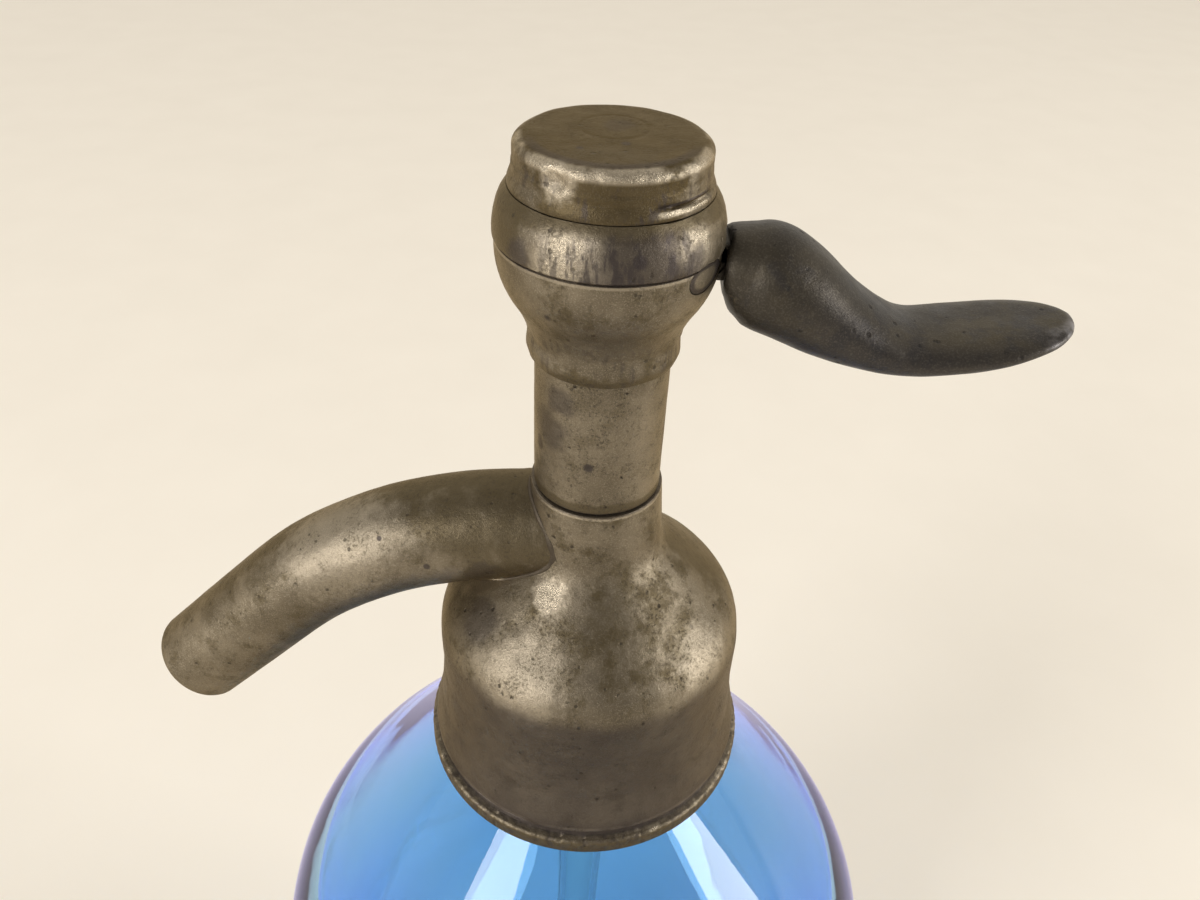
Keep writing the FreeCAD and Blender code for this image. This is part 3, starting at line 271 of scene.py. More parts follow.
def ring_tube(name, rings, sides, closed):
    """Extrudes a circle ring by ring and lays each ring where its function of the angle says."""
    weld_gap = 0.0015 * MM
    bpy.ops.object.select_all(action="DESELECT")
    bpy.ops.mesh.primitive_circle_add(vertices=sides, radius=1, location=(0, 0, 0))
    piece = bpy.context.object
    piece.name = name
    piece.data.name = name
    bpy.ops.object.mode_set(mode="EDIT")
    bpy.ops.mesh.select_all(action="SELECT")
    for _ in rings[1:]:
        bpy.ops.mesh.extrude_region_move(TRANSFORM_OT_translate={"value": (0, 0, 1)})
    bpy.ops.object.mode_set(mode="OBJECT")
    for vertex in piece.data.vertices:
        angle = math.atan2(vertex.co.y, vertex.co.x)
        vertex.co = Vector(rings[round(vertex.co.z)](angle)) * MM
    bpy.ops.object.mode_set(mode="EDIT")
    bpy.ops.mesh.select_all(action="SELECT")
    bpy.ops.mesh.remove_doubles(threshold=weld_gap)
    if closed:
        bpy.ops.mesh.select_all(action="DESELECT")
        bpy.ops.mesh.select_non_manifold()
        bpy.ops.mesh.bridge_edge_loops()
    bpy.ops.mesh.select_all(action="SELECT")
    bpy.ops.mesh.normals_make_consistent(inside=False)
    bpy.ops.object.mode_set(mode="OBJECT")
    return piece


def turned(name, points, sides, closed=False):
    """A piece that is round the upright axis, from its section."""

    def circle(radius, level):
        return lambda angle: (radius * math.cos(angle), radius * math.sin(angle), level)

    return ring_tube(name, [circle(*point) for point in points], sides, closed)


def emboss(piece, height_at):
    """Moves each point along its normal by a height in millimetres."""
    moves = [v.normal * (height_at(v.co / MM) * MM) for v in piece.data.vertices]
    for vertex, move in zip(piece.data.vertices, moves):
        vertex.co += move


def ripple(place, size, seed=0.0):
    """A smooth wander between about -1 and 1, with waves of a given size."""
    return noise.noise(Vector(place) / size + Vector((seed, seed * 0.7, -seed)))


def select_only(piece):
    bpy.ops.object.select_all(action="DESELECT")
    piece.select_set(True)
    bpy.context.view_layer.objects.active = piece


def finish_piece(piece, finish, body, slot, *replaced, angle=40):
    """Shades a piece, gives it its material, hangs it on its body and hides the frame pieces that it
    replaces.
    """
    select_only(piece)
    bpy.ops.object.shade_smooth_by_angle(angle=math.radians(angle))
    piece.data.materials.clear()
    piece.data.materials.append(finish.material)
    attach(piece, body)
    if replaced:
        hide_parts(*replaced)


bottle_outside = [
    (0.0, 3.5),
    (23.8, 3.5),
    (34.0, 0.0),
    (43.5, 0.0),
    (52.5, 9.0, 9.0),
    (52.5, 175.0),
    (45.94, 192.26, 26.0),
    (15.66, 226.37),
    (14.4, 229.69, 5.0, False),
    (14.4, 241.2),
    (15.15, 241.2),
    (16.6, 242.65, 1.45),
    (16.6, 245.55),
    (15.15, 247.0, 1.45),
]
bottle_inside = [
    (10.0, 247.0),
    (10.0, 232.2),
    (12.5, 225.6, 10.0),
    (42.57, 190.97),
    (48.0, 175.0, 21.5, False),
    (48.0, 17.2),
    (40.8, 10.0, 7.2, False),
    (0.0, 10.0),
]
bottle = turned("bottle_glass", section(bottle_outside + bottle_inside, 4.0), 160)


def blown_wander(place):
    """The walls wander, but the neck and the floor don't."""
    if place.z > 226 or place.z < 12:
        return 0.0
    return ripple(place, 26.0, 3.1) * 0.22 - 0.12 + ripple(place, 9.0, 5.4) * 0.04


emboss(bottle, blown_wander)
blue_glass = Finish("blue_glass")
# Painted rim light: the facing mask tints the glass edges violet and makes them glow faintly.
rim_light = blue_glass.node("ShaderNodeLayerWeight", inputs={"Blend": 0.35}, output="Facing")
# Random lighter and deeper blue patches, painted in as light gathered through the glass.
blue_with_painted_caustics = blue_glass.blend(
    blue_glass.fade(blue_glass.noise(15.0, 2.0, 0.4), 0.35, 0.65),
    colour(0.39, 0.69, 0.99),
    colour(0.31, 0.62, 0.98),
)
blue_glass.set(
    base_color=blue_glass.blend(
        blue_glass.fade(rim_light, 0.4, 0.85), blue_with_painted_caustics, colour(0.24, 0.27, 0.93)
    ),
    roughness=0.02 + blue_glass.fade(blue_glass.noise(900.0, 4.0, 0.6), 0.6, 0.8) * 0.05,
    normal=blue_glass.bump(blue_glass.noise(60.0, 2.0, 0.4), 0.12),
    transmission_weight=1.0,
    emission_color=blue_glass.blend(
        blue_glass.fade(rim_light, 0.36, 0.8), colour(0, 0, 0), colour(0.035, 0.035, 0.22)
    ),
    emission_strength=1.0,
)
blue_glass.surface.inputs["IOR"].default_value = 1.5
finish_piece(bottle, blue_glass, "siphon", "blue_glass", "bottle")


# Dip tube and seals
# A clear glass tube hangs from the head to just over the bottle's floor. Black
# rubber seals it and the neck, and two brass half rings hold under the lip.
def dress(finish, *names):
    """Gives a finish to pieces of the frame that keep their shape."""
    for name in names:
        for material_slot in nodes[name].material_slots:
            material_slot.material = finish.material


clear_glass = Finish("clear_glass")
clear_glass.set(
    base_color=clear_glass.blend(
        clear_glass.noise(40.0), colour(0.93, 0.97, 0.95), colour(0.86, 0.93, 0.92)
    ),
    roughness=0.03 + clear_glass.noise(700.0, 3.0) * 0.03,
    transmission_weight=1.0,
)
clear_glass.surface.inputs["IOR"].default_value = 1.5
dress(clear_glass, "dip_tube")

black_rubber = Finish("black_rubber")
bloom = black_rubber.noise(500.0, 4.0, 0.6)
black_rubber.set(
    base_color=black_rubber.blend(bloom, colour(0.012, 0.012, 0.012), colour(0.05, 0.048, 0.045)),
    roughness=0.55 + bloom * 0.25,
    normal=black_rubber.bump(black_rubber.noise(4000.0, 2.0), 0.03),
)
dress(black_rubber, "neck_gasket", "tube_washer", "valve_washer")

brass = Finish("brass")
tarnish = brass.fade(brass.noise(300.0, 4.0, 0.6), 0.42, 0.7)
turning = brass.noise(300.0, 2.0, 0.5, (1.0, 1.0, 14.0))
brass.set(
    base_color=brass.blend(tarnish, colour(0.62, 0.42, 0.16), colour(0.25, 0.16, 0.07)),
    metallic=1.0,
    roughness=0.24 + tarnish * 0.25,
    normal=brass.bump(turning, 0.02),
)
dress(brass, "split_collar_front", "split_collar_back", "valve_seat", "washer_nut", "washer_cup")
dress(brass, "valve_stem", "packing_washer", "gland_nut", "stem_yoke", "stem_lock_nut")


# Neck ring
# A cast pewter ring under the glass lip that screws up into the bell. Its
# flange was milled round its edge, and most of the teeth are worn flat.
olive_brown = colour(0.085, 0.066, 0.036)


def aged_pewter(
    name, stains=(), darks=(), rubbed_and_highlit=(), pits=1.0, coarse=1.0, tone=0.0, stain_tint=olive_brown
):
    """Old pewter: grey-brown, stained, pitted, and bright where it is rubbed and where a highlight
    is painted.

    The stain, rubbed and dark masks are functions that give a mask of the finish. The rubbed masks
    give real wear and painted highlights; the darks give dirt and painted shade.
    """
    metal = Finish(name)
    cloud = metal.noise(65.0, 4.0, 0.6)
    patch = metal.noise(300.0, 5.0, 0.65)
    speck = metal.noise(2800.0 * coarse, 5.0, 0.7)
    grain = metal.noise(6500.0 * coarse, 3.0, 0.6)
    cells = metal.node("ShaderNodeTexVoronoi", inputs={"Vector": metal.place, "Scale": 620.0})
    dull = colour(0.128, 0.107, 0.077)
    fair = colour(0.22, 0.187, 0.138)
    bright = colour(0.5, 0.44, 0.345)
    nearly_black = colour(0.05, 0.043, 0.045)
    tint = metal.blend(metal.fade(cloud + tone, 0.36, 0.64), dull, fair)
    tint = metal.blend(metal.fade(patch, 0.42, 0.7) * 0.4, tint, colour(0.1, 0.083, 0.052))
    tint = metal.blend(metal.fade(grain, 0.48, 0.7) * 0.42, tint, colour(0.4, 0.35, 0.265))
    metallic = 0.9
    for stain in stains:
        ragged = metal.fade(patch + stain(metal) * 0.5, 0.5, 0.85)
        tint = metal.blend(ragged * 0.75, tint, stain_tint)
        metallic = metallic - ragged * 0.1
    shine = metal.fade(patch, 0.7, 0.35) * 0.3
    # Bright metal: rubbed wear, and painted highlights.
    for bright_mark in rubbed_and_highlit:
        mask = bright_mark(metal).at_most(1.0)
        tint = metal.blend(mask * 0.7, tint, bright)
        shine = shine.at_least(mask)
    # Near black: dirt, and painted shade.
    for dark in darks:
        mask = dark(metal).at_most(1.0)
        tint = metal.blend(mask * 0.85, tint, nearly_black)
        shine = shine * (1 - mask)
    dirt = metal.fade(speck, 0.5, 0.64) * metal.fade(patch, 0.3, 0.65)
    tint = metal.blend(dirt * (0.6 * pits), tint, colour(0.06, 0.05, 0.04))
    pit = metal.fade(cells, 0.2, 0.1) * metal.fade(patch, 0.5, 0.56) * pits
    tint = metal.blend(pit * 0.75, tint, colour(0.035, 0.03, 0.025))
    height = grain * (0.7 + shine * 0.6) - dirt * (0.4 * pits) + speck * 0.5 - pit
    broad = metal.bump(metal.noise(420.0, 3.0, 0.5), 0.16)
    metal.set(
        base_color=tint,
        metallic=metallic,
        roughness=0.43 - shine * 0.19 + dirt * 0.15 + (grain - 0.5) * 0.2,
        specular_tint=colour(0.85, 0.72, 0.52),
        normal=metal.bump(height, 0.055, broad),
    )
    return metal


def radius_of(metal):
    """The distance from the upright axis."""
    across = metal.axis(0)
    along = metal.axis(1)
    return (across * across + along * along) ** 0.5


def near(metal, value, target, reach):
    """One where a length is near a target in millimetres, fading out over a reach."""
    away = metal.node("ShaderNodeMath", {"operation": "ABSOLUTE"}, {0: value - target * MM})
    return metal.fade(away, reach * MM, reach * 0.3 * MM)


ring_section = [
    (16.9, 228.2),
    (22.75, 228.2),
    (23.43, 228.9, 0.7),
    (23.43, 230.2),
    (22.75, 230.9, 0.7),
    (22.3, 231.1),
    (21.95, 231.95),
    (20.2, 231.95),
    (20.2, 243.2),
    (18.6, 243.2),
    (18.6, 230.9),
    (16.9, 230.9),
]
neck_ring = turned("neck_ring_metal", section(ring_section, 1.0), 900, closed=True)
teeth = 90
tooth_depth = 0.1


def milled_edge(place):
    """Grooves between the teeth of the flange, shallow where it is worn, and chips."""
    reach = math.hypot(place.x, place.y)
    if reach < 22.6 or place.z < 228.6:
        return 0.0
    angle = math.atan2(place.y, place.x)
    groove = max(0.0, math.cos(angle * teeth)) ** 2
    wear = 0.5 + ripple(place, 7.0, 1.3) * 0.9
    chips = max(0.0, ripple(place, 1.6, 8.8) - 0.3) * 0.7
    return -tooth_depth * groove * min(max(wear, 0.0), 1.0) - chips * 0.5 - 0.02


emboss(neck_ring, milled_edge)
ring_metal = aged_pewter(
    "neck_ring_pewter",
    stains=[lambda m: m.fade(m.axis(2), 0.2309, 0.2299) * 1.3],
    darks=[
        # Near black inside the flange's edge, under the bell's foot: painted shade in the gap, and
        # dirt in the corner.
        lambda m: m.fade(radius_of(m), 0.0228, 0.0222),
        lambda m: m.fade(m.noise(900.0, 3.0, 0.6), 0.5, 0.62) * 0.6,
    ],
    rubbed_and_highlit=[
        lambda m: near(m, m.axis(2), 230.6, 0.5) * m.fade(m.noise(300.0, 3.0, 0.6), 0.52, 0.66)
    ],
)
finish_piece(neck_ring, ring_metal, "siphon", "old_pewter", "neck_ring", angle=30)


# Bell
# The cast pewter head that covers the glass lip, with a flared foot, a round
# shoulder and a short neck. Its lower band is a darker brown.
bell_outside = [
    (20.25, 232.4),
    (22.45, 232.4),
    (22.7, 232.65, 0.25),
    (21.5, 238.3),
    (21.0, 244.5),
    (21.0, 251.05),
    (18.2, 257.8, 9.55),
    (10.61, 265.4),
    (8.85, 269.64, 6.0, False),
    (8.32, 276.5),
    (8.12, 276.7, 0.2),
]
bell_inside = [
    (6.45, 276.7),
    (6.45, 273.7),
    (5.0, 273.7),
    (5.0, 252.6),
    (2.9, 252.6),
    (2.9, 251.0),
    (6.5, 251.0),
    (6.5, 249.2),
    (18.3, 249.2),
    (18.3, 243.6),
    (20.25, 243.6),
]
bell = turned("bell_metal", section(bell_outside + bell_inside, 0.55), 288, closed=True)


def dent(place, centre, reach, depth):
    """A round dent with soft sides."""
    share = (Vector(place) - Vector(centre)).length / reach
    return -depth * (1 - share**2) ** 2 if share < 1 else 0.0


def bell_wear(place):
    if math.hypot(place.x, place.y) < 7.9 or place.z < 232.5:
        return 0.0
    cast = ripple(place, 5.0, 2.2) * 0.07 + ripple(place, 1.7, 4.4) * 0.03
    height = cast - 0.05
    height += dent(place, (-9.0, -12.5, 261.5), 2.2, 0.16)
    height += dent(place, (-13.2, -12.0, 257.6), 1.6, 0.12)
    height += dent(place, (12.0, -12.6, 258.0), 1.1, 0.1)
    height += dent(place, (4.0, -20.4, 249.5), 1.3, 0.07)
    return height


emboss(bell, bell_wear)


def cut_away(piece, cutter):
    """Cuts a shape out of a piece."""
    select_only(piece)
    cut = piece.modifiers.new("cut", "BOOLEAN")
    cut.operation = "DIFFERENCE"
    cut.solver = "EXACT"
    cut.object = cutter
    bpy.ops.object.modifier_apply(modifier=cut.name)
    bpy.data.objects.remove(cutter)


spout_level = 267.8
bore_radius = 4.8
bpy.ops.object.select_all(action="DESELECT")
bpy.ops.mesh.primitive_cylinder_add(
    vertices=96,
    radius=bore_radius * MM,
    depth=17 * MM,
    location=(-9.5 * MM, 0, spout_level * MM),
    rotation=(0, math.pi / 2, 0),
)
cut_away(bell, bpy.context.object)


def lower_band(metal):
    """The darker foot band of the bell, with a wandering upper edge."""
    edge = metal.axis(2) + (metal.noise(150.0, 3.0, 0.5) - 0.5) * (4.0 * MM)
    return metal.fade(edge, 0.2546, 0.2512)


bell_metal = aged_pewter(
    "bell_pewter",
    stains=[
        # An olive stain in front, and painted dark reflection of the dim room between the two
        # highlights.
        lambda m: m.spot((6.0, -12.5, 262.2), 11.0) * 0.4,
        lambda m: m.spot((10.0, 8.0, 262.0), 14.0),
        lambda m: m.spot((-12.0, 9.0, 259.0), 12.0),
    ],
    darks=[
        lambda m: lower_band(m) * (0.6 + m.noise(140.0, 3.0) * 0.4),
        lambda m: m.fade(m.axis(2), 0.2345, 0.2328) * 0.4,
        lambda m: m.spot((-14.2, -9.4, 259.0), 4.2, 2.5) * 0.6,
        lambda m: m.spot((-10.6, -11.6, 261.4), 0.9, 0.6),
        lambda m: m.spot((13.6, -9.6, 260.2), 0.8, 0.5),
        lambda m: near(m, m.axis(2), 276.6, 0.35) * 0.5,
    ],
    rubbed_and_highlit=[
        # Rubbed bright, and painted highlights where the two windows show on the bell.
        lambda m: m.spot((-5.2, -10.2, 264.8), 3.0, 3.0, 900.0),
        lambda m: m.spot((-8.3, -17.0, 257.0), 8.0, 8.0, 900.0) * 0.5,
        lambda m: m.spot((15.1, -11.9, 257.0), 6.0, 6.0, 900.0) * 0.35,
        lambda m: m.spot((-11.6, -11.3, 261.0), 1.2, 1.6, 1400.0),
        lambda m: near(m, m.axis(2), 276.3, 0.3) * 0.8,
        # A thin painted highlight along the foot's lower edge.
        lambda m: near(m, m.axis(2), 232.8, 0.35) * m.fade(m.noise(250.0), 0.35, 0.55) * 0.8,
    ],
)
finish_piece(bell, bell_metal, "siphon", "old_pewter", "head_body")


# Spout
# A pewter tube that leaves the bell level and bends down to a square end. It
# is soldered to the bell, with a thin bright seam along its lower side.
spout_straight = 7.0
spout_bend = 51.0
spout_turn = math.radians(44.9)
spout_end = 21.2


def spout_station(length):
    """Where the spout's middle line is after a length from the axis, and its direction."""
    bend_length = spout_bend * spout_turn
    if length <= spout_straight:
        return Vector((-length, 0, spout_level)), 0.0
    if length <= spout_straight + bend_length:
        turn = (length - spout_straight) / spout_bend
    else:
        turn = spout_turn
    along = spout_straight + spout_bend * math.sin(turn)
    fall = spout_bend * (1 - math.cos(turn))
    rest = max(0.0, length - spout_straight - bend_length)
    middle = Vector((-along, 0, spout_level - fall))
    return middle + Vector((-math.cos(turn), 0, -math.sin(turn))) * rest, turn


def spout_point(length, radius, angle):
    """A point round the spout's middle line."""
    middle, turn = spout_station(length)
    across = Vector((0, 1, 0)) * math.cos(angle)
    upward = Vector((-math.sin(turn), 0, math.cos(turn))) * math.sin(angle)
    return middle + (across + upward) * radius


neck_foot = 269.64
neck_radius = 8.85
neck_taper = 0.0756
fillet = 6.0
fillet_foot = 265.4
slope_start = 10.61
slope_end = 18.2


def bell_reach(level):
    """The bell's outside radius near the spout's root."""
    if level > neck_foot:
        return neck_radius - (level - neck_foot) * neck_taper
    if level > fillet_foot:
        return neck_radius + fillet - math.sqrt(fillet**2 - (neck_foot - level) ** 2)
    return min(slope_start + (fillet_foot - level), slope_end)


@functools.cache
def root_length(angle):
    """How far along the spout a line on its surface leaves the bell, less half a millimetre."""
    sunk = 0.5
    step = 0.1
    length = 3.0
    while length < 20.0:
        place = spout_point(length, 7.4, angle)
        if math.hypot(place.x, place.y) > bell_reach(place.z) - sunk:
            break
        length += step
    return length


def spout_skin(length, radius):
    """A ring of the outside, which starts no nearer than the bell's surface."""
    return lambda angle: spout_point(max(length, root_length(angle)), radius, angle)


def spout_bore(length, radius):
    return lambda angle: spout_point(length, radius, angle)


spout_length = spout_straight + spout_bend * spout_turn + spout_end
root_radius = 7.42
mouth_radius = 6.95
skin_start = 3.5
skin_end = spout_length - 0.35
bore_start = spout_length - 0.3
bore_end = 7.6
spout_rings = []
outer_steps = 110
for step in range(outer_steps + 1):
    length = skin_start + (skin_end - skin_start) * step / outer_steps
    share = length / spout_length
    spout_rings.append(spout_skin(length, root_radius + (mouth_radius - root_radius) * share))
spout_rings.append(spout_skin(spout_length - 0.12, 6.85))
spout_rings.append(spout_skin(spout_length, 6.55))
spout_rings.append(spout_bore(spout_length, 5.1))
spout_rings.append(spout_bore(bore_start, bore_radius))
inner_steps = 40
for step in range(1, inner_steps + 1):
    length = bore_start - (bore_start - bore_end) * step / inner_steps
    spout_rings.append(spout_bore(length, bore_radius))
spout = ring_tube("spout_metal", spout_rings, 96, closed=True)


def spout_wear(place):
    if place.x > -9.5:
        return 0.0
    return ripple(place, 6.0, 6.1) * 0.08 + ripple(place, 1.8, 2.8) * 0.022 - 0.03


emboss(spout, spout_wear)
spout_metal = aged_pewter(
    "spout_pewter",
    stains=[
        lambda m: m.spot((-12.0, -2.0, 274.5), 16.0) * 0.75,
        lambda m: m.fade(m.axis(1), -0.0045, 0.001) * 0.8,
    ],
    darks=[
        lambda m: m.spot((-27.2, -5.5, 268.8), 0.5, 0.4),
        lambda m: m.spot((-21.0, -7.2, 266.0), 0.6, 0.8) * 0.9,
        lambda m: m.spot((-14.0, -7.0, 265.0), 3.0, 4.0, 900.0) * 0.5,
    ],
    # Rubbed bright, and a painted highlight along the spout's upper front.
    rubbed_and_highlit=[lambda m: m.spot((-34.0, -5.2, 267.0), 11.0, 9.0, 1100.0) * 0.5],
    pits=0.8,
)
finish_piece(spout, spout_metal, "siphon", "old_pewter", "spout")


def solder_ring(number, count):
    """One line along the solder bead, round its small section."""
    turn = 2 * math.pi * number / count

    def point(angle):
        root = root_radius + 0.3 * math.cos(turn)
        across = root * math.cos(angle)
        level = spout_level + root * math.sin(angle)
        wall = bell_reach(level)
        out = math.sqrt(max(wall**2 - across**2, 4.0))
        return (-out - 0.34 * math.sin(turn) + 0.05, across, level)

    return point


solder = ring_tube("solder_seam", [solder_ring(n, 10) for n in range(10)], 96, closed=True)
emboss(solder, lambda place: ripple(place, 1.5, 9.9) * 0.12)
solder_metal = aged_pewter(
    "solder",
    stains=[lambda m: m.fade(m.axis(2), 0.2615, 0.2635) * 1.5],
    darks=[lambda m: m.fade(m.axis(2), 0.262, 0.264) * 0.6],
    rubbed_and_highlit=[lambda m: m.spot((-13.5, -4.5, 261.3), 4.0, 2.0)],
    coarse=1.4,
)
finish_piece(solder, solder_metal, "siphon", "old_pewter")


# Column
# A drawn tube between the head and the lever housing, with threaded ends. Its
# skin is finely pitted, and the lower edge sits on the head with an open seam.
column_section = [
    (1.65, 273.7),
    (6.4, 273.7),
    (6.4, 276.76),
    (7.81, 276.76),
    (7.93, 276.88, 0.12),
    (7.93, 295.2),
    (6.4, 295.2),
    (6.4, 301.0),
    (4.55, 301.0),
    (4.55, 279.5),
    (1.65, 279.5),
]
column = turned("column_metal", section(column_section, 0.5), 192, closed=True)


def column_wear(place):
    if math.hypot(place.x, place.y) < 7.5:
        return 0.0
    height = ripple(place, 4.0, 7.7) * 0.05 + ripple(place, 1.2, 3.3) * 0.02 - 0.03
    return height + dent(place, (-1.0, -7.9, 283.9), 0.8, 0.12)


emboss(column, column_wear)
column_metal = aged_pewter(
    "column_pewter",
    stains=[lambda m: near(m, m.axis(2), 277.0, 1.6)],
    darks=[
        lambda m: m.spot((-1.0, -7.9, 283.9), 0.85, 0.5),
        lambda m: m.spot((-5.6, -5.6, 287.4), 3.4, 3.4) * 0.6,
        lambda m: m.spot((-4.6, -6.4, 292.0), 2.4, 3.0) * 0.6,
        lambda m: m.spot((-6.9, -3.9, 284.5), 1.2, 1.6) * 0.8,
        lambda m: near(m, m.axis(2), 276.8, 0.16),
    ],
    pits=1.3,
    coarse=1.15,
)
finish_piece(column, column_metal, "siphon", "old_pewter", "column")


# Packing and spring
# Two greased rings seal the stem inside the column, and a steel coil over the
# yoke pushes the stem down and so keeps the lever up.
packing = Finish("greased_packing")
weave = packing.noise(1800.0, 3.0, 0.6, (1.0, 1.0, 2.5))
packing.set(
    base_color=packing.blend(weave, colour(0.08, 0.06, 0.035), colour(0.2, 0.16, 0.1)),
    roughness=0.6 - weave * 0.2,
    normal=packing.bump(weave, 0.08),
)
dress(packing, "packing_ring_lower", "packing_ring_upper")

spring_steel = Finish("spring_steel")
rust = spring_steel.fade(spring_steel.noise(900.0, 4.0, 0.7), 0.55, 0.72)
spring_steel.set(
    base_color=spring_steel.blend(rust, colour(0.42, 0.42, 0.43), colour(0.16, 0.08, 0.045)),
    metallic=1.0 - rust * 0.6,
    roughness=0.3 + rust * 0.4,
    normal=spring_steel.bump(spring_steel.noise(4000.0, 3.0), 0.02),
)


coil_turns = 4.5
coil_radius = 3.9
coil_foot = 309.75
coil_head = 317.85
wire_radius = 0.5


def coil_ring(share):
    """One ring of the wire's section, at a share of the way up the coil."""
    turn = 2 * math.pi * coil_turns * share
    outward = Vector((math.cos(turn), math.sin(turn), 0))
    middle = outward * coil_radius + Vector((0, 0, coil_foot + (coil_head - coil_foot) * share))
    size = wire_radius if 0 < share < 1 else 0.0

    def point(angle):
        return middle + (outward * math.cos(angle) + Vector((0, 0, math.sin(angle)))) * size

    return point


coil_steps = 150
coil_shares = [0.0, 0.00005] + [step / coil_steps for step in range(1, coil_steps)] + [0.99995, 1.0]
coil = ring_tube("spring_coil", [coil_ring(share) for share in coil_shares], 16, closed=False)
finish_piece(coil, spring_steel, "siphon", "spring_steel", "spring")
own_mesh(coil)


# Lever housing
# A cast pewter bulb screwed on the column. Its upper band was turned smooth
# and handled bright and carries two painted highlights, its foot is a rough
# bead, and a slot lets the lever in.
housing_outside = [
    (6.45, 295.2),
    (8.2, 295.2),
    (8.4, 295.4, 0.2),
    (8.72, 296.4),
    (8.58, 298.3),
    (10.35, 302.4, 14.0, False),
    (12.18, 308.9, 11.0),
    (12.16, 309.38),
    (12.0, 309.5),
    (12.22, 309.62),
    (12.38, 309.8),
    (12.05, 312.5, 9.0),
    (10.8, 315.0, 5.0),
]
housing_inside = [
    (8.45, 315.0),
    (8.45, 311.3),
    (7.4, 311.3),
    (7.4, 301.2),
    (6.45, 301.2),
]
housing = turned("housing_metal", section(housing_outside + housing_inside, 0.45), 288, closed=True)


def housing_wear(place):
    """Cast skin, a lumpy bead at the foot, and knocks in the upper band."""
    reach = math.hypot(place.x, place.y)
    if reach < 8.3 and place.z > 299:
        return 0.0
    height = ripple(place, 4.5, 1.9) * 0.05 - 0.03
    if place.z < 299.5:
        angle = math.atan2(place.y, place.x)
        height += ripple((math.cos(angle) * 3, math.sin(angle) * 3, place.z), 1.3, 6.6) * 0.13
        height += 0.1 * math.cos(angle - math.radians(-10)) ** 6
    if place.z > 309.7:
        height += ripple(place, 1.6, 5.1) * 0.035
        height += dent(place, (1.2, -12.3, 311.0), 0.8, 0.1)
        height += dent(place, (-1.4, -12.0, 311.5), 0.9, 0.1)
        height += dent(place, (6.5, -9.6, 314.4), 2.6, 0.18)
    return height


emboss(housing, housing_wear)
slot_place = (0.0122, 0, 0.30725)
slot_size = (0.0126, 0.005, 0.0091)
bpy.ops.object.select_all(action="DESELECT")
bpy.ops.mesh.primitive_cube_add(size=1, location=slot_place, scale=slot_size)
cut_away(housing, bpy.context.object)
pin_out = 9.9
pin_level = 308.3
pin_hole_radius = 1.67
bpy.ops.mesh.primitive_cylinder_add(
    vertices=64,
    radius=pin_hole_radius * MM,
    depth=30 * MM,
    location=(pin_out * MM, 0, pin_level * MM),
    rotation=(math.pi / 2, 0, 0),
)
cut_away(housing, bpy.context.object)


def upper_band(metal):
    return metal.fade(metal.axis(2), 0.3093, 0.3097) * metal.fade(metal.axis(2), 0.3148, 0.3135)


def band_streaks(metal):
    streaks = metal.noise(850.0, 4.0, 0.65, (1.0, 1.0, 0.25))
    return metal.fade(streaks, 0.46, 0.6) * upper_band(metal)


def file_marks(metal):
    marks = metal.noise(1500.0, 2.0, 0.5, (1.0, 1.0, 0.12))
    return metal.fade(marks, 0.5, 0.66) * metal.fade(metal.axis(2), 0.3025, 0.2985) * 0.5


housing_metal = aged_pewter(
    "housing_pewter",
    stains=[
        lambda m: near(m, m.axis(2), 314.4, 1.3) * 0.8,
        lambda m: m.spot((-10.0, -4.5, 312.0), 5.0),
        lambda m: m.fade(m.axis(2), 0.2975, 0.2955) * 0.7,
    ],
    darks=[
        lambda m: band_streaks(m) * m.spot((1.5, -12.2, 310.8), 11.0, 3.0) * 0.9,
        lambda m: upper_band(m) * m.spot((3.0, -11.8, 309.9), 8.0, 6.0, 900.0) * 0.75,
        # Painted shadow in the groove under the upper band's step.
        lambda m: near(m, m.axis(2), 309.5, 0.2) * 0.8,
        lambda m: m.spot((3.1, -11.7, 311.9), 1.0, 0.4),
        # Painted dark reflections of the dim room on the bulb's left and right sides.
        lambda m: m.spot((-8.6, -8.6, 310.6), 2.2, 2.4) * 0.85,
        lambda m: m.spot((8.6, -8.8, 311.0), 2.0, 2.2) * 0.8,
        lambda m: m.spot((-5.6, -9.6, 304.6), 0.6, 0.4),
        lambda m: m.spot((9.9, -7.0, 308.3), 2.3, 0.5) * 0.8,
        file_marks,
    ],
    rubbed_and_highlit=[
        # Handled bright, and painted highlights where the two windows show on the band.
        lambda m: upper_band(m) * m.spot((-3.6, -11.6, 311.6), 5.0, 3.0, 700.0) * 0.9,
        lambda m: upper_band(m) * m.spot((8.6, -8.3, 312.2), 3.0, 2.0, 700.0) * 0.8,
        lambda m: near(m, m.axis(2), 309.2, 0.25) * 0.5,
    ],
    pits=0.8,
)
finish_piece(housing, housing_metal, "siphon", "old_pewter", "lever_housing")


# Cap
# A pewter cap screwed in the top of the housing, over the spring. Its flat top
# is stained olive, and knocks and thumbs have left its rim bright and uneven;
# the rim's bright band is also painted as its highlight.
cap_section = [
    (0.0, 320.0),
    (9.0, 320.0),
    (10.25, 318.75, 1.25, False),
    (10.25, 317.4),
    (10.32, 316.6),
    (10.7, 315.6),
    (10.75, 315.2),
    (10.68, 315.04),
    (8.4, 315.04),
    (8.4, 311.5),
    (5.9, 311.5),
    (5.9, 318.4),
    (0.0, 318.4),
]
cap = turned("cap_metal", section(cap_section, 0.22), 288)


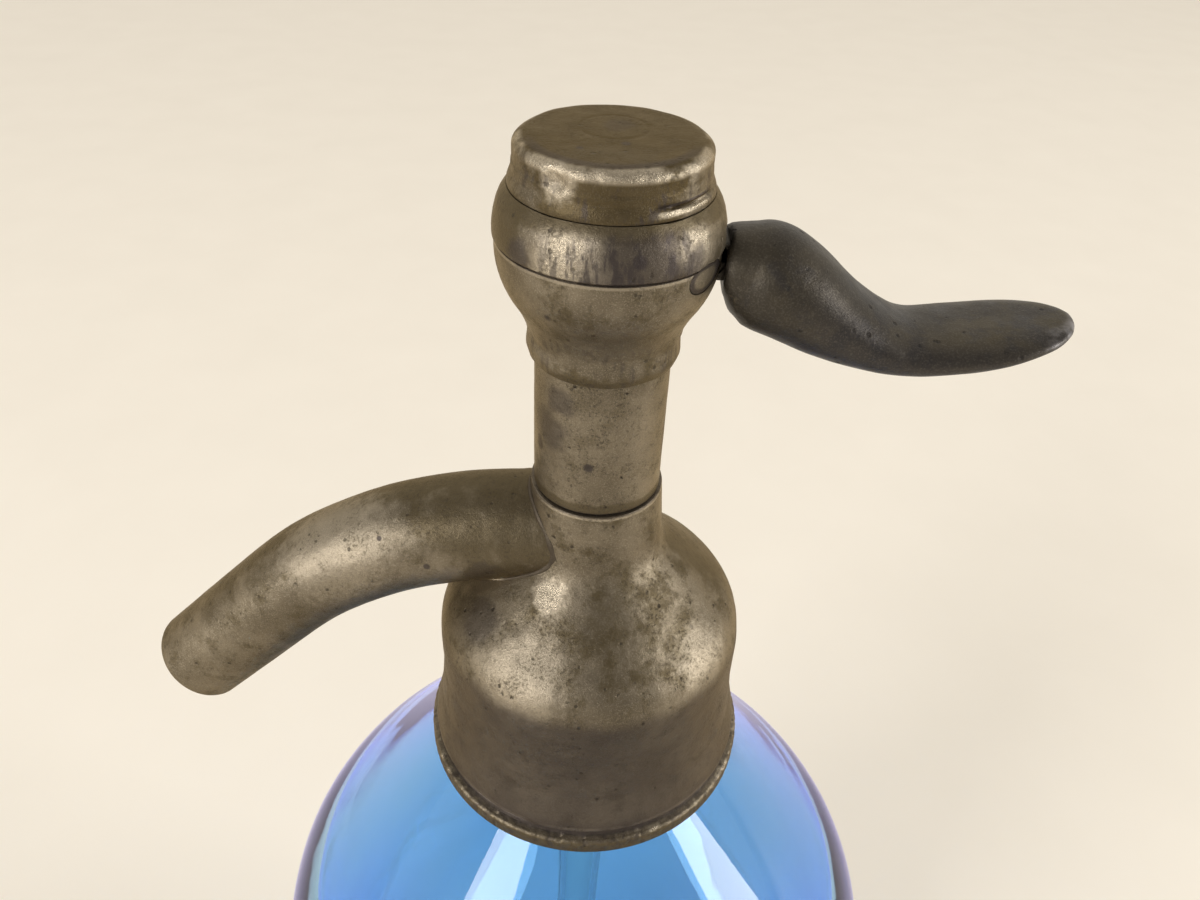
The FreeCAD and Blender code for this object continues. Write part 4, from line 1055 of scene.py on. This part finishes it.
def cap_wear(place):
    """A worn rim with knocks, a crumpled place, a crack in the side and a faint ring on top."""
    crack_at = math.radians(-42)
    crack_reach = 0.49
    crack_depth = 0.5
    crack_width = 0.16
    reach = math.hypot(place.x, place.y)
    if place.z < 315.1 or (reach < 9.0 and place.z < 319):
        return 0.0
    angle = math.atan2(place.y, place.x)
    edge = max(0.0, 1 - abs(reach - 9.9) / 1.3) if place.z > 317.5 else 0.0
    height = ripple(place, 5.0, 3.7) * 0.05 - 0.04
    height -= edge * (0.1 + 0.12 * ripple((math.cos(angle) * 5, math.sin(angle) * 5, 0), 1.6, 2.0))
    crumpled = dent(place, (-5.3, -8.9, 318.7), 2.6, -1.0)
    height += dent(place, (-5.3, -8.9, 318.4), 1.7, 0.42) + crumpled * ripple(place, 0.8, 4.0) * 0.16
    crack = 316.35 + 0.25 * math.sin(3 * angle)
    crack_share = max(0.0, math.cos((angle - crack_at) * 3.2))
    if abs(angle - crack_at) < crack_reach:
        height -= crack_depth * crack_share * math.exp(-(((place.z - crack) / crack_width) ** 2))
    height += dent(place, (-1.5, -10.1, 319.2), 1.3, 0.16)
    height += dent(place, (7.6, -6.9, 319.1), 1.5, 0.2)
    height += dent(place, (3.3, -9.8, 319.3), 1.0, 0.12)
    ring = abs(math.hypot(place.x, place.y - 2.0) - 3.5)
    if place.z > 319.5 and ring < 0.45:
        height -= 0.05 * (1 - ring / 0.45)
    return height


emboss(cap, cap_wear)


# The rim worn bright, and its bright band painted as the rim's highlight.
def worn_and_highlit_rim(metal):
    high = metal.fade(metal.axis(2), 0.3185, 0.3191) * metal.fade(radius_of(metal), 0.0089, 0.0095)
    return high * metal.fade(metal.noise(260.0, 4.0, 0.6), 0.38, 0.58)


def cap_streaks(metal):
    streaks = metal.noise(700.0, 4.0, 0.6, (1.0, 1.0, 0.3))
    side = metal.fade(metal.axis(2), 0.3187, 0.318)
    return metal.fade(streaks, 0.52, 0.62) * side * 0.7


cap_metal = aged_pewter(
    "cap_pewter",
    stains=[
        lambda m: m.fade(m.axis(2), 0.3192, 0.3197) * m.fade(radius_of(m), 0.0099, 0.0088) * 1.8,
        lambda m: m.fade(m.axis(2), 0.3192, 0.3197) * m.fade(radius_of(m), 0.0099, 0.0088) * 0.7,
        lambda m: m.spot((0.0, -10.0, 316.6), 9.0) * 1.2,
    ],
    darks=[
        cap_streaks,
        # Painted shade: a dark band just inside the front of the rim.
        lambda m: near(m, radius_of(m), 8.7, 0.8) * m.fade(m.axis(1), -0.001, -0.005) * 0.7,
        # Painted shade in the crumpled dent under the rim.
        lambda m: m.spot((-5.5, -8.9, 318.0), 0.9, 0.8) * 0.8,
        lambda m: m.spot((-3.2, -4.4, 320.0), 0.5, 0.3),
        lambda m: m.spot((1.2, -2.6, 320.0), 0.6, 0.5),
        lambda m: m.spot((0.5, 2.4, 320.0), 2.2, 2.4) * 0.5,
        # Painted shade inside the crack.
        lambda m: near(m, m.axis(2), 316.35, 0.28) * m.spot((7.7, -6.9, 316.3), 4.6, 1.0) * 1.1,
    ],
    rubbed_and_highlit=[
        worn_and_highlit_rim,
        # Rubbed bright, and a painted highlight on the crumpled rim.
        lambda m: m.spot((-5.2, -9.0, 318.4), 2.6, 1.6, 900.0),
        # A painted highlight along the crack's lower edge.
        lambda m: near(m, m.axis(2), 315.7, 0.4) * m.spot((7.6, -7.4, 315.8), 5.0, 2.0),
    ],
    pits=0.8,
    tone=-0.08,
    stain_tint=colour(0.062, 0.043, 0.015),
)
finish_piece(cap, cap_metal, "siphon", "old_pewter", "top_cap")


# Pivot pin
# A pewter-coloured pin driven through the housing and filed flush with it, so
# that its end shows as an oval with dirt round it.
def pin_rim(metal):
    across = metal.axis(0) - pin_out * MM
    upward = metal.axis(2) - pin_level * MM
    return metal.fade((across * across + upward * upward) ** 0.5, 0.0009, 0.0013)


pin_metal = aged_pewter("pin_pewter", darks=[pin_rim], pits=0.6)
dress(pin_metal, "pivot_pin")


# Lever
# A cast lever, dark with handling, that swells next to the housing and thins
# to a thumb rest. Its tongue turns on the pin and its finger lifts the yoke.
pivot = Vector((pin_out, 0.0, pin_level))
lever_swing = math.radians(14)
lever_stations = [
    (14.6, 306.4, 5.1, 4.9),
    (16.8, 305.7, 6.0, 5.75),
    (19.6, 304.3, 6.3, 5.6),
    (24.0, 301.7, 6.2, 4.7),
    (29.0, 299.5, 6.2, 3.6),
    (34.0, 298.5, 6.4, 2.6),
    (39.5, 299.2, 6.7, 2.2),
    (44.5, 300.3, 6.3, 1.8),
    (48.3, 301.2, 4.9, 1.35),
    (50.4, 301.8, 3.0, 0.95),
    (51.3, 302.1, 1.2, 0.55),
]


def lever_station(along):
    """A smooth reading of the stations at a place along them, counted from the first."""
    last = len(lever_stations) - 1
    start = min(int(along), last - 1)
    share = along - start
    picks = [lever_stations[min(max(start + n, 0), last)] for n in (-1, 0, 1, 2)]
    result = []
    for before, here, after, beyond in zip(*picks):
        bend = 2 * before - 5 * here + 4 * after - beyond
        twist = -before + 3 * here - 3 * after + beyond
        value = 2 * here + (after - before) * share + bend * share**2 + twist * share**3
        result.append(value / 2)
    return result


housing_skin = section(housing_outside[3:], 0.4)


def housing_reach(level):
    """The housing's outside radius at a height, read from its section."""
    for (low_radius, low), (high_radius, high) in zip(housing_skin, housing_skin[1:]):
        if low <= level <= high and high > low:
            return low_radius + (high_radius - low_radius) * (level - low) / (high - low)
    return 8.5


def clear_place(across, level, turn, gap):
    """How far out a point of the lever must be to clear the housing, pressed by a turn."""
    inner = 9.0
    outer = 17.0
    rise = level - pivot.z
    for _ in range(13):
        out = (inner + outer) / 2
        pressed_out = pivot.x + (out - pivot.x) * math.cos(turn) + rise * math.sin(turn)
        pressed_level = pivot.z - (out - pivot.x) * math.sin(turn) + rise * math.cos(turn)
        if math.hypot(pressed_out, across) > housing_reach(pressed_level) + gap:
            outer = out
        else:
            inner = out
    return outer


def root_face(across, level):
    """How far out the lever's root starts, clear of the housing at rest and pressed down."""
    at_rest = clear_place(across, level, 0.0, 0.3)
    pressed = clear_place(across, level, lever_swing, 0.2)
    return (at_rest + pressed + math.hypot(at_rest - pressed, 0.4)) / 2


def root_ring(scale, lead):
    """A ring on the face towards the housing, or the short neck behind it."""
    half_width = 4.6
    half_height = 3.85
    middle_level = 307.25

    def point(angle):
        across = half_width * scale * math.cos(angle)
        level = middle_level + half_height * scale * math.sin(angle)
        return (root_face(across, level) + lead, across, level)

    return point


def arm_ring(along):
    """A ring across the arm, dished on top where the thumb rests."""
    dish_depth = 0.32
    middle_x, middle_z, half_width, half_thickness = lever_station(along)
    ahead_x, ahead_z = lever_station(min(along + 0.02, len(lever_stations) - 1))[:2]
    back_x, back_z = lever_station(max(along - 0.02, 0.0))[:2]
    tilt = math.atan2(ahead_z - back_z, ahead_x - back_x)
    dish_start = min(max((middle_x - 34) / 6, 0.0), 1.0)
    dish_end = min(max((51 - middle_x) / 4, 0.0), 1.0)
    dish = dish_depth * dish_start * dish_end

    def point(angle):
        across = half_width * math.copysign(abs(math.cos(angle)) ** 0.92, math.cos(angle))
        rise = half_thickness * math.copysign(abs(math.sin(angle)) ** 0.95, math.sin(angle))
        if rise > 0:
            rise -= dish * math.sin(angle) ** 6
        return (middle_x - rise * math.sin(tilt), across, middle_z + rise * math.cos(tilt))

    return point


def shrunk(ring, share):
    """A ring drawn in towards its middle."""
    middle = (Vector(ring(0.0)) + Vector(ring(math.pi))) / 2
    return lambda angle: middle.lerp(Vector(ring(angle)), share)


lever_rings = [root_ring(scale, 0.0) for scale in (0.0, 0.3, 0.6, 0.8)]
for turn in (0.3, 0.6, 0.9, 1.2):
    lever_rings.append(root_ring(0.8 + 0.22 * math.sin(turn), 0.9 * (1 - math.cos(turn))))
arm_steps = 110
for step in range(arm_steps + 1):
    lever_rings.append(arm_ring((len(lever_stations) - 1) * step / arm_steps))
tip_ring = lever_rings[-1]
for share in (0.75, 0.4, 0.0):
    lever_rings.append(shrunk(tip_ring, share))
lever = ring_tube("lever_arm", lever_rings, 96, closed=False)


def lever_wear(place):
    if place.x < 15.0:
        return ripple(place, 2.0, 1.1) * 0.04
    height = ripple(place, 6.0, 8.3) * 0.09 + ripple(place, 2.0, 4.9) * 0.025
    height += dent(place, (22.2, -3.6, 304.9), 0.7, 0.22)
    height += dent(place, (17.5, -5.6, 303.5), 0.6, 0.12)
    return height


select_only(lever)
for vertex in lever.data.vertices:
    vertex.select = vertex.co.x < 15.5 * MM
bpy.ops.object.mode_set(mode="EDIT")
bpy.ops.mesh.vertices_smooth(factor=0.5, repeat=6)
bpy.ops.object.mode_set(mode="OBJECT")
emboss(lever, lever_wear)


def dark_metal(name):
    """Brown-black cast metal, browner on the thumb rest and bright at the worn tip."""
    metal = Finish(name)
    cloud = metal.noise(90.0, 4.0, 0.6)
    patch = metal.noise(420.0, 4.0, 0.6)
    grain = metal.noise(4800.0, 3.0, 0.6)
    dark = colour(0.048, 0.042, 0.034)
    brown = colour(0.068, 0.058, 0.043)
    tint = metal.blend(metal.fade(cloud, 0.4, 0.6), dark, brown)
    thumb_rest = metal.fade(metal.axis(0), 0.034, 0.042) * metal.fade(patch, 0.3, 0.6)
    tint = metal.blend(thumb_rest * 0.6, tint, colour(0.085, 0.07, 0.043))
    under = metal.fade(metal.axis(1), -0.0035, -0.0062) * metal.fade(metal.axis(0), 0.018, 0.026)
    tint = metal.blend(under * 0.5, tint, colour(0.04, 0.039, 0.045))
    from_tip = metal.vector_math("DISTANCE", Vector((47.0, 1.0, 303.0)) * MM, "Value")
    tip_edge = metal.fade(from_tip, 0.0035, 0.0048) * metal.fade(metal.axis(0), 0.0465, 0.049)
    worn = (tip_edge * metal.fade(patch, 0.35, 0.6)).at_most(1.0)
    tint = metal.blend(worn * 0.8, tint, colour(0.3, 0.29, 0.3))
    dusty = metal.spot((14.6, -3.2, 305.0), 1.9, 2.4, 1300.0)
    tint = metal.blend(dusty * 0.5, tint, colour(0.34, 0.28, 0.19))
    pit = metal.spot((22.2, -3.6, 304.9), 0.5, 0.2)
    tint = metal.blend(pit, tint, colour(0.02, 0.018, 0.016))
    cells = metal.node("ShaderNodeTexVoronoi", inputs={"Vector": metal.place, "Scale": 560.0})
    fleck = metal.fade(cells, 0.22, 0.1) * metal.fade(patch, 0.48, 0.56)
    tint = metal.blend(fleck * 0.7, tint, colour(0.02, 0.018, 0.017))
    low_patch = metal.fade(metal.noise(160.0, 5.0, 0.65), 0.48, 0.6)
    tint = metal.blend(low_patch * 0.5, tint, colour(0.035, 0.034, 0.038))
    tint = metal.blend(metal.fade(grain, 0.45, 0.75) * 0.25, tint, colour(0.2, 0.18, 0.15))
    height = grain * 0.5 - fleck * 0.8 + patch * 0.8
    metal.set(
        base_color=tint,
        metallic=0.85,
        roughness=0.46 - worn * 0.14 + (patch - 0.5) * 0.25 + fleck * 0.15,
        normal=metal.bump(height, 0.05, metal.bump(metal.noise(350.0, 3.0), 0.14)),
    )
    return metal


lever_metal = dark_metal("dark_lever")
finish_piece(lever, lever_metal, "lever", "dark_lever", "lever")
bpy.ops.object.select_all(action="DESELECT")
tongue_width = 0.0046
finger_width = 0.0028
finger_level = 0.3058
bpy.ops.mesh.primitive_cube_add(
    size=1, location=(0.01135, 0, 0.3078), scale=(0.0029, tongue_width, 0.0042)
)
tongue = bpy.context.object
tongue.name = "lever_tongue"
bpy.ops.mesh.primitive_cylinder_add(
    vertices=64,
    radius=0.0028,
    depth=tongue_width,
    location=pivot * MM,
    rotation=(math.pi / 2, 0, 0),
)
boss = bpy.context.object
bpy.ops.mesh.primitive_cube_add(
    size=1, location=(0.00495, 0, finger_level), scale=(0.0099, finger_width, 0.0018)
)
finger = bpy.context.object
bpy.ops.mesh.primitive_cylinder_add(
    vertices=48,
    radius=0.0015,
    depth=finger_width,
    location=(0, 0, finger_level),
    rotation=(math.pi / 2, 0, 0),
)
knob = bpy.context.object
bpy.ops.object.select_all(action="DESELECT")
for part in (boss, finger, knob, tongue):
    part.select_set(True)
bpy.context.view_layer.objects.active = tongue
bpy.ops.object.join()
bpy.ops.object.transform_apply(location=True, rotation=True, scale=True)
bpy.ops.object.mode_set(mode="EDIT")
bpy.ops.mesh.select_all(action="SELECT")
bpy.ops.mesh.bevel(offset=0.0002, segments=2, affect="EDGES")
bpy.ops.object.mode_set(mode="OBJECT")
finish_piece(tongue, lever_metal, "lever", "dark_lever")
